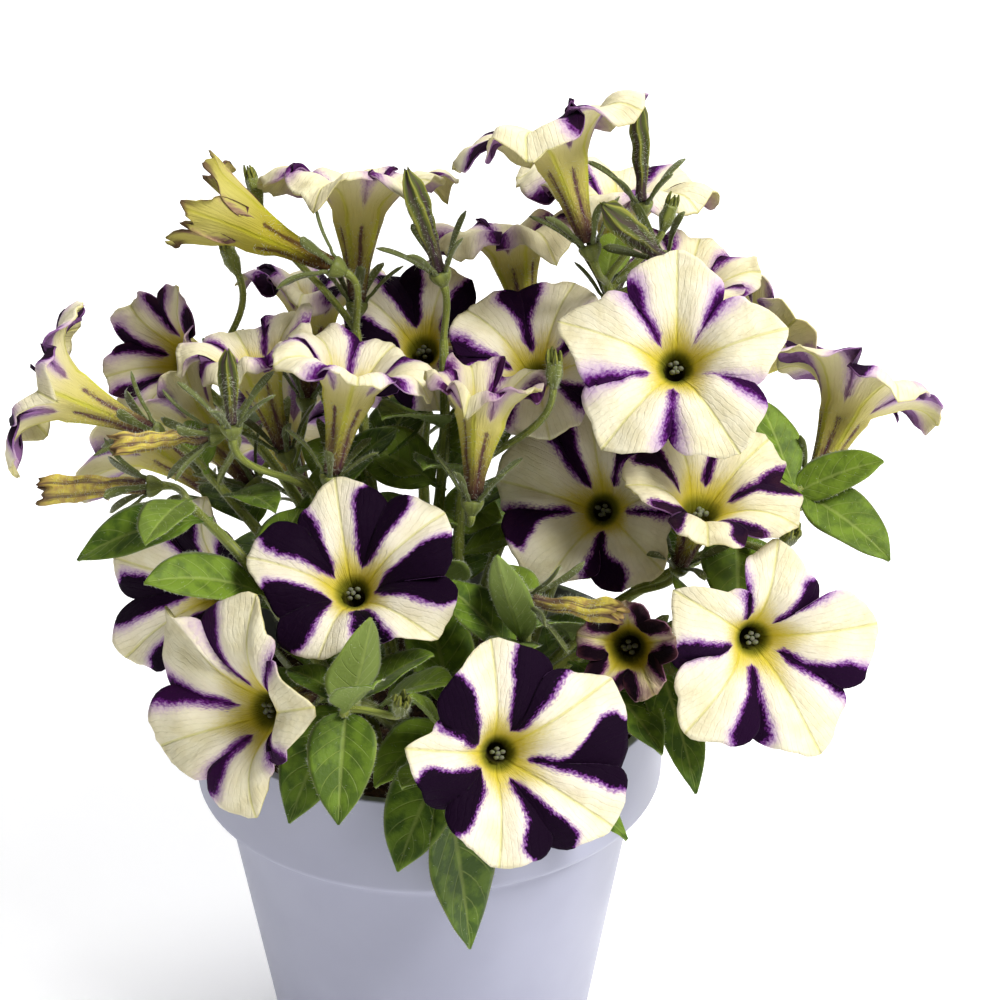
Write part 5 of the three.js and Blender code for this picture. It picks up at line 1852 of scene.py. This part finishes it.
class Plant:
    """The whole plant's plan: stems, stalks, blooms, and where every leaf finds room."""

    def __init__(self) -> None:
        """Works the plan out from the tables."""
        self.paths = {
            name: SpannedPath([(*points[0], STEM_FOOT), (*points[0], SOIL_TOP + 3), *points[1:]])
            for name, points in STEMS.items()
        }
        self.corollas = [Corolla.from_row(name, row, k + 11) for k, (name, row) in enumerate(BLOOMS.items())]
        self.rolled = [
            RolledCorolla(name, np.array(foot, float), np.array(tip, float), thick, spent, 71 + k)
            for k, (name, (_, _, foot, tip, thick, spent)) in enumerate(ROLLED.items())
        ]
        self.stalks = [Stalk(*BLOOMS[c.name][:2], c.seat, c.axis) for c in self.corollas]
        self.stalks += [Stalk(*ROLLED[r.name][:2], r.foot, unit(r.tip - r.foot)) for r in self.rolled]
        self.balls: list[tuple[Array, float]] = []
        self.set_balls()
        self.leaves = self.place_leaves() + self.grow_leaves(DEEP_LEAVES)

    def on_stem(self, name: str, place: float) -> Array:
        """A point of a main stem, by its place from 0 just above the soil to 1 at the tip."""
        foot = 1 / len(STEMS[name])
        return self.paths[name].point(foot + (1 - foot) * place)

    def put_balls(self, centres: Iterable[Array], radius: float) -> None:
        """Sets balls of one size that keep leaves away."""
        self.balls += [(centre, radius) for centre in centres]

    def set_balls(self) -> None:
        """Sets the balls that stand for stems, blooms, stalks and buds while leaves look for room."""
        for name in STEMS:
            self.put_balls((self.on_stem(name, place) for place in np.linspace(0, 1, 17)), 3.0)
        for c in self.corollas:
            for share, each in ((0.95, 4), (0.72, 3), (0.45, 2), (0.2, 2)):
                k = np.arange(LOBES * each)
                across = 2 * (k % each) / each
                across = np.where(across > 1, across - 2, across)
                radius = c.throat + (c.edge(across) - c.throat) * share
                points = c.at(c.turn + TURN * k / (LOBES * each), radius, c.height(radius, across))
                self.put_balls(points, 3.6)
            for height, radius in ((-10, 6.4), (-15, 5.4), (-21, 4.6), (-27, 4.6)):
                self.put_balls([c.mouth + height * c.axis], radius)
        for stalk in self.stalks:
            path = stalk.path(self.on_stem(stalk.stem, stalk.place))
            self.put_balls((path.point(t) for t in (0.15, 0.3, 0.45, 0.6, 0.75, 0.9)), 2.2)
            for place in (0.45, 0.95):
                self.put_balls(spin(stalk.seat, stalk.axis, ring_angles(10), *sepal_station(place)), 1.6)
        for r in self.rolled:
            points = (r.foot + t * (r.tip - r.foot) for t in (0.2, 0.45, 0.7, 0.95))
            self.put_balls(points, r.thickness / 2 + 1.2)
        for _, _, foot, tip, _ in BUDLETS:
            self.put_balls((np.array(foot) * (1 - t) + np.array(tip) * t for t in (0, 0.5, 1)), 3.0)

    def is_clear(self, leaf: Leaf, start: Array) -> bool:
        """Whether a leaf stands clear of what is placed, of the pot and soil, and of the blooms' faces.

        Args:
            leaf: The leaf.
            start: Where it leaves its stem.

        Returns:
            True if it is clear.
        """
        probes = leaf.probes()
        out = np.hypot(probes[:, 0], probes[:, 1])
        by_rim = (out > RIM_RADIUS - 6) & (out < RIM_RADIUS + 3) & (probes[:, 2] < POT_HEIGHT + 3)
        if (by_rim | (probes[:, 2] < SOIL_TOP + 4)).any():
            return False
        for c in self.corollas:
            away = probes - c.mouth
            height = away @ c.axis
            off = np.linalg.norm(away - height[:, None] * c.axis, axis=1)
            if ((height > -3) & (height < FACE_CLEARANCE) & (off < c.radius * 0.9)).any():
                return False
        centres = np.array([b[0] for b in self.balls])
        near = np.array([b[1] for b in self.balls]) + 1.6
        others = np.linalg.norm(centres - start, axis=1) > 7
        gaps = ((probes[:, None] - centres[None, others]) ** 2).sum(-1)
        return not (gaps < near[others] ** 2).any()

    def grow_leaves(self, rows: list[tuple]) -> list[Leaf]:
        """The leaves of a table."""
        return [
            Leaf.grow(stem, self.on_stem(stem, place), np.array(tip, float), width, arch, roll)
            for stem, place, tip, width, arch, roll in rows
        ]

    def place_leaves(self) -> list[Leaf]:
        """Places the leaves of PLACED_LEAVES first, and the rest where they first find room.

        Returns:
            The leaves.
        """
        placed = self.grow_leaves(PLACED_LEAVES)
        for leaf in placed:
            self.put_balls(leaf.probes(), PROBE_RADIUS)
        for order, (stem, count) in enumerate(LEAF_COUNTS.items()):
            draw = park_miller(101 + order * 37)
            spin_start = next(draw) * 360
            for i in range(count):
                place = LEAF_FIRST + (LEAF_LAST - LEAF_FIRST) * i / (count - 1)
                start = self.on_stem(stem, place)
                full = (LEAF_LOWER + (LEAF_UPPER - LEAF_LOWER) * place) * (0.85 + 0.3 * next(draw))
                slimness = 0.42 + 0.1 * next(draw)
                rise = -5 + 40 * next(draw)
                for attempt in range(LEAF_TRIES * len(LEAF_SIZES)):
                    length = full * LEAF_SIZES[attempt // LEAF_TRIES]
                    heading = spin_start + LEAF_TURN * i + LEAF_RETRY * attempt
                    tip = start + length * direction(heading, rise + attempt % 3 * 12)
                    leaf = Leaf.grow(stem, start, tip, length * slimness, length * 0.16, 0)
                    if self.is_clear(leaf, start):
                        placed.append(leaf)
                        self.put_balls(leaf.probes(), PROBE_RADIUS)
                        break
        return placed


@dataclass
class LeafyStem:
    """One grown piece: the main stem, its flower stalks with their calyces, its small buds and its leaves.

    The counts of hairs are for each mm of length, but for a sepal or a cup.
    """

    name: str
    plant: Plant
    seed: int
    stem_rows: int = 60
    stem_sides: int = 14
    leaf_rows: int = 26
    leaf_columns: int = 12
    stem_hairs: float = 11
    stalk_hairs: float = 9
    hem_hairs: float = 5
    blade_hairs: float = 2.2
    sepal_hairs: int = 70
    calyx_hairs: int = 60
    cup_hairs: int = 220
    draft: Draft = field(init=False)
    rng: Generator = field(init=False)

    BLADE, SKIN, DOWN, DRY = range(4)

    def __post_init__(self) -> None:
        """Starts the mesh and the draws."""
        self.draft, self.rng = Draft(), np.random.default_rng(self.seed)

    def build(self, finishes: Finishes) -> Object:
        """Grows the stem and all that it carries.

        Args:
            finishes: Where the finishes come from.

        Returns:
            The leafy stem.
        """
        self.add_stem()
        for stalk in self.plant.stalks:
            if stalk.stem == self.name:
                self.add_stalk(stalk)
        for stem, place, foot, tip, thick in BUDLETS:
            if stem == self.name:
                self.add_budlet(place, np.array(foot, float), np.array(tip, float), thick)
        for leaf in self.plant.leaves:
            if leaf.stem == self.name:
                self.add_leaf(leaf)
        materials = [finishes.leaf, finishes.stem, finishes.down, finishes.faded]
        piece = self.draft.finish(self.name + "_grown", materials)
        return place_piece(piece, self.name)

    def skinned(self, grid: Array, along: float, dark: float, hairs: float) -> None:
        """Adds a green body with down on it.

        Args:
            grid: The body's rings.
            along: Its length, in mm.
            dark: How dark its green is.
            hairs: How many hairs it carries.
        """
        rows, sides = grid.shape[:2]
        up = np.linspace(0, along, rows)[:, None]
        pattern = stacked(np.arange(sides) / sides * 8.0, up, self.rng.uniform(0, 90))
        points, quads = self.draft.add_closed(grid, self.SKIN, grid=pattern, tint=np.array([dark, 0, 0]))
        roots, outward = scatter(points, quads, int(hairs), self.rng)
        grow_hairs(self.draft, roots, outward, 1.25, self.DOWN, self.rng)

    def add_stem(self) -> None:
        """Adds the main stem, a little knobbly along its length."""
        t = np.linspace(0, 1, self.stem_rows)
        radii = STEM_RADIUS + (STEM_TIP_RADIUS - STEM_RADIUS) * t
        radii = radii * (1 + 0.05 * np.sin(t * 37 + self.rng.uniform(0, TURN)))
        radii[-2:] *= (0.9, 0.45)
        grid = tube_grid(self.plant.paths[self.name], t, radii, self.stem_sides)
        length = run_length(grid)
        self.skinned(grid, length, 0.0, length * self.stem_hairs)

    def add_stalk(self, stalk: Stalk) -> None:
        """Adds a flower stalk, its calyx cup and the five sepals.

        Args:
            stalk: The stalk.
        """
        path = stalk.path(self.plant.on_stem(self.name, stalk.place))
        t = np.linspace(0, 1, 22)
        grid = tube_grid(path, t, STALK_RADIUS * (1 + 0.25 * smooth(t, 0.8, 1)), 10)
        length = run_length(grid)
        self.skinned(grid, length, 0.0, length * self.stalk_hairs)
        level, rise = cross_frame(stalk.axis)
        first = carried_frames(path, np.array([0, 0.5, 1]))[-1][1]
        zero = math.atan2(float(first @ rise), float(first @ level))
        heights, radii = np.array(CALYX_CUP).T[..., None]
        around = ring_angles(20) + zero
        ribs = 1 + 0.05 * np.cos(SEPAL_COUNT * (around - zero) - 0.6 * math.pi)
        cup = spin(stalk.seat, stalk.axis, around, radii * ribs, heights)
        self.skinned(cup, CALYX_HEIGHT, 0.3, self.calyx_hairs)
        for k in range(SEPAL_COUNT):
            self.add_sepal(stalk, zero + TURN / SEPAL_COUNT * (k + 0.3))

    def add_sepal(self, stalk: Stalk, angle: float) -> None:
        """Adds one sepal: narrow, a little broader towards its round tip, hollow above.

        Args:
            stalk: The stalk that ends in the calyx.
            angle: Where the sepal stands round it.
        """
        level, rise = cross_frame(stalk.axis)
        out = math.cos(angle) * level + math.sin(angle) * rise
        aside = np.cross(stalk.axis, out)
        p = np.linspace(0, 1, 12)
        reach = self.rng.uniform(0.92, 1.08)
        hook = self.rng.uniform(-0.2, 0.4)
        radius, height = sepal_station(p * reach)
        radius = radius - 0.9 * (1 - smooth(p, 0, 0.2)) + 3.0 * hook * p ** 3
        height = height - 1.2 * (1 - smooth(p, 0, 0.1)) - 4.0 * abs(hook) * p ** 3
        line = stalk.seat + radius[:, None] * out + height[:, None] * stalk.axis
        line = line + (self.rng.uniform(-1.2, 1.2) * p ** 2)[:, None] * aside
        run = np.gradient(line, axis=0)
        run /= np.linalg.norm(run, axis=1)[:, None]
        half = ((0.75 + 0.6 * smooth(p, 0.2, 0.7)) * rounded(p, 0.8, 0.205, 0.02))[:, None]
        thick = (0.45 * rounded(p, 0.85, 0.155, 0.05))[:, None]
        across, lift = np.cos(ring_angles(10)), np.sin(ring_angles(10))
        grid = (line[:, None] + (half * across)[..., None] * aside
                + (thick * lift + 0.3 * half * across ** 2)[..., None] * np.cross(run, aside)[:, None])
        self.skinned(grid, SEPAL_LENGTH, 0.75, self.sepal_hairs)

    def add_budlet(self, place: float, foot: Array, tip: Array, thick: float) -> None:
        """Adds a spent calyx: a downy cup on its stalk, with the dried petals' stubs in it.

        Args:
            place: Where its stalk leaves the stem.
            foot: The cup's foot.
            tip: The end of what it holds.
            thick: The cup's thickness.
        """
        along = tip - foot
        length = float(np.linalg.norm(along))
        axis = along / length
        start = self.plant.on_stem(self.name, place)
        away = float(np.linalg.norm(foot - start))
        path = BezierPath(start, start + 0.4 * (foot - start) + 2 * UP, foot - 0.3 * away * axis, foot)
        grid = tube_grid(path, np.linspace(0, 1, 18), np.full(18, STALK_RADIUS), 10)
        self.skinned(grid, away, 0.0, away * self.stalk_hairs)
        share = np.array([-0.05, 0.05, 0.18, 0.32, 0.46, 0.6, 0.68, 0.66, 0.5])[:, None]
        half = thick / 2
        radii = np.array([0.9, 1.3, 1.8, 2.2, half, half, half * 0.9, half * 0.7, 0.6])[:, None]
        around = ring_angles(20)
        teeth = 1 + 0.1 * np.cos(SEPAL_COUNT * around)
        cup = spin(foot, axis, around, radii * teeth, share * length * (0.94 + 0.06 * teeth))
        self.skinned(cup, length, 0.3, self.cup_hairs)
        level, rise = cross_frame(axis)
        s = np.linspace(0, 1, 8)
        for k in range(SEPAL_COUNT):
            turn = (k + self.rng.uniform(-0.2, 0.2)) / SEPAL_COUNT * TURN
            out = math.cos(turn) * level + math.sin(turn) * rise
            low = foot + 0.45 * length * axis + 0.2 * thick * out
            high = (foot + self.rng.uniform(0.85, 1.0) * length * axis
                    + self.rng.uniform(0.1, 0.42) * thick * out)
            stub = BezierPath(low, (low + high) / 2 + 0.2 * thick * out, high)
            grid = tube_grid(stub, s, thick * (0.16 + 0.08 * np.sin(math.pi * s) - 0.1 * s), 8)
            shape = stacked(np.sin(3.0 * np.arange(8)), 0.5 + 0.5 * s[:, None], 0.0)
            self.draft.add_closed(grid, self.DRY, shape=shape, grid=grid)

    def add_leaf(self, leaf: Leaf) -> None:
        """Adds one leaf: petiole and blade, quilted between its veins, with a downy hem.

        Args:
            leaf: The leaf's form.
        """
        p = np.linspace(0, 1, self.leaf_rows) ** 0.95
        top = np.linspace(-1, 1, self.leaf_columns + 1)
        s = np.concatenate([top, top[-2:0:-1]])
        above = np.concatenate([np.ones(len(top)), -np.ones(len(s) - len(top))])
        above[[0, self.leaf_columns]] = 0
        centre, side, face = (np.array(v) for v in zip(*(leaf.stand(float(place)) for place in p)))
        half = np.array([leaf.half_width(float(place)) for place in p])
        half = (half * rounded(p, 0.82, 0.185, 0.01))[:, None]
        blade = smooth(p, 0.08, 0.22)[:, None]
        phase = ((p[:, None] - VEIN_BOW * np.abs(s) ** VEIN_CURVE) * LEAF_VEINS) % 1
        quilt = np.sin(np.pi * phase) ** 0.7 * (1 - np.abs(s) ** 3)
        midrib = np.exp(-((s * half / 0.7) ** 2))
        wave = np.sin(TURN * 1.8 * p + self.rng.uniform(0, TURN))[:, None]
        wave = wave * np.abs(s) ** 2.5 * np.sign(s + 0.01)
        relief = blade * (0.3 * quilt - 0.35 * midrib + 0.06 * half * wave)
        lift = LEAF_FOLD * half * np.abs(s) ** 1.3 + relief
        thick = (0.5 - 0.18 * blade) * np.sqrt(1 - np.abs(s) ** 4) * above
        thick = thick - np.where(above < 0, 0.35, 0.0) * midrib * blade
        grid = (centre[:, None] + (s * half)[..., None] * side[:, None]
                + (lift + thick)[..., None] * face[:, None])
        length = float(np.linalg.norm(leaf.midrib.point(1) - leaf.midrib.point(0)))
        pattern = stacked(s * half, p[:, None] * length, self.rng.uniform(0, 90))
        shape = stacked(s, p[:, None], above < 0)
        youth = float(np.clip(0.85 - length / 42 + self.rng.normal(scale=0.12), 0, 0.8))
        tint = np.array([youth, self.rng.uniform(-0.35, 0.35), 0])
        points, quads = self.draft.add_closed(grid, self.BLADE, grid=pattern, shape=shape, tint=tint)
        count = int(length * self.hem_hairs)
        rows = self.rng.uniform(2, self.leaf_rows - 1.01, count)
        left = self.rng.uniform(size=count) < 0.5
        low = rows.astype(int)
        part = (rows - low)[:, None]
        column = np.where(left, 0, self.leaf_columns)
        roots = grid[low, column] * (1 - part) + grid[low + 1, column] * part
        outward = np.where(left, -1, 1)[:, None] * side[low] + 0.25 * face[low]
        grow_hairs(self.draft, roots, outward, 0.8, self.DOWN, self.rng)
        roots, outward = scatter(points, quads, int(length * self.blade_hairs), self.rng)
        grow_hairs(self.draft, roots, outward, 0.7, self.DOWN, self.rng)


@dataclass
class Studio:
    """The pale floor, the soft lamps and the camera."""

    lens: float = 95
    sensor: float = 36
    camera_place: tuple[float, float, float] = (19.6, -631.85, 476.77)
    pitch_down: float = 26
    floor_half: float = 8.0
    lamp_target: tuple[float, float, float] = (0, 0, 150)
    paper: tuple[str, str] = ("fcfcfd", "fdfdfe")

    def build(self) -> None:
        """Sets the studio up."""
        scene = bpy.context.scene
        scene.view_settings.view_transform = "Standard"
        camera = bpy.data.cameras.new("camera")
        camera.lens, camera.sensor_width = self.lens, self.sensor
        camera.clip_start, camera.clip_end = 0.01, 50
        holder = bpy.data.objects.new("camera", camera)
        turn = Matrix.Rotation(math.radians(90 - self.pitch_down), 4, "X")
        holder.matrix_world = Matrix.Translation([x * MM for x in self.camera_place]) @ turn
        scene.collection.objects.link(holder)
        scene.camera = holder
        self.add_floor()
        self.add_world()
        self.add_lamp("key_lamp", (1100, -850, 1650), 700, 60.0, (1.0, 0.985, 0.96))
        self.add_lamp("back_lamp", (100, 1300, 2200), 1500, 50.0, (1.0, 1.0, 1.0))

    def add_floor(self) -> None:
        """Lays the plain pale floor."""
        material, node = blank_material("pale_paper")
        tooth = node("TexNoise", None, {"Vector": node("TexCoord", output=OBJECT_PLACE), "Scale": 4.0})
        colour = node("Mix", COLOUR, {0: tooth, 6: self.paper[0], 7: self.paper[1]}, MIXED)
        cover(material, node, {
            "Base Color": colour, "Roughness": 0.9,
            "Emission Color": self.paper[1], "Emission Strength": 0.15,
        })
        mesh = bpy.data.meshes.new("floor")
        size = self.floor_half
        corners = [(-size, -size, 0), (size, -size, 0), (size, size, 0), (-size, size, 0)]
        mesh.from_pydata(corners, [], [(0, 1, 2, 3)])
        mesh.materials.append(material)
        floor = bpy.data.objects.new("floor", mesh)
        bpy.context.scene.collection.objects.link(floor)

    def add_world(self) -> None:
        """Sets the even white surroundings, brighter to the camera than as a light."""
        world = bpy.data.worlds.new("white_studio")
        world.use_nodes = True
        world.node_tree.nodes.clear()
        node = partial(add_node, world.node_tree)
        strength = node("MapRange", None, [node("LightPath"), 0.0, 1.0, 0.24, 1.0])
        light = node("Background", None, {"Color": (1.0, 1.0, 1.0, 1.0), "Strength": strength})
        node("OutputWorld", None, [light])
        bpy.context.scene.world = world

    def add_lamp(
        self, name: str, place: tuple[float, float, float], size: float, watts: float,
        colour: tuple[float, float, float],
    ) -> None:
        """Hangs one square soft lamp that faces the plant.

        Args:
            name: The lamp's name.
            place: Where it hangs, in mm.
            size: Its side, in mm.
            watts: Its power.
            colour: Its colour.
        """
        lamp = bpy.data.lights.new(name, "AREA")
        lamp.size, lamp.energy, lamp.color = size * MM, watts, colour
        holder = bpy.data.objects.new(name, lamp)
        spot = np.array(place, float)
        back = unit(spot - np.array(self.lamp_target, float))
        level, rise = cross_frame(back)
        turn = Matrix(np.stack([level, rise, back], -1).tolist()).to_4x4()
        holder.matrix_world = Matrix.Translation((spot * MM).tolist()) @ turn
        bpy.context.scene.collection.objects.link(holder)


def main() -> None:
    """Builds the studio, the pot, the soil and the plant in order."""
    logging.basicConfig(level=logging.INFO, format="%(name)s: %(message)s")
    Studio().build()
    finishes = Finishes()
    Pot().build(finishes)
    Soil().build(finishes)
    plant = Plant()
    LOG.info("%d leaves have found their place", len(plant.leaves))
    for order, name in enumerate(STEMS):
        LeafyStem(name, plant, 301 + order).build(finishes)
    for bloom in [*plant.corollas, *plant.rolled]:
        bloom.build(finishes)


if __name__ == "__main__":
    main()
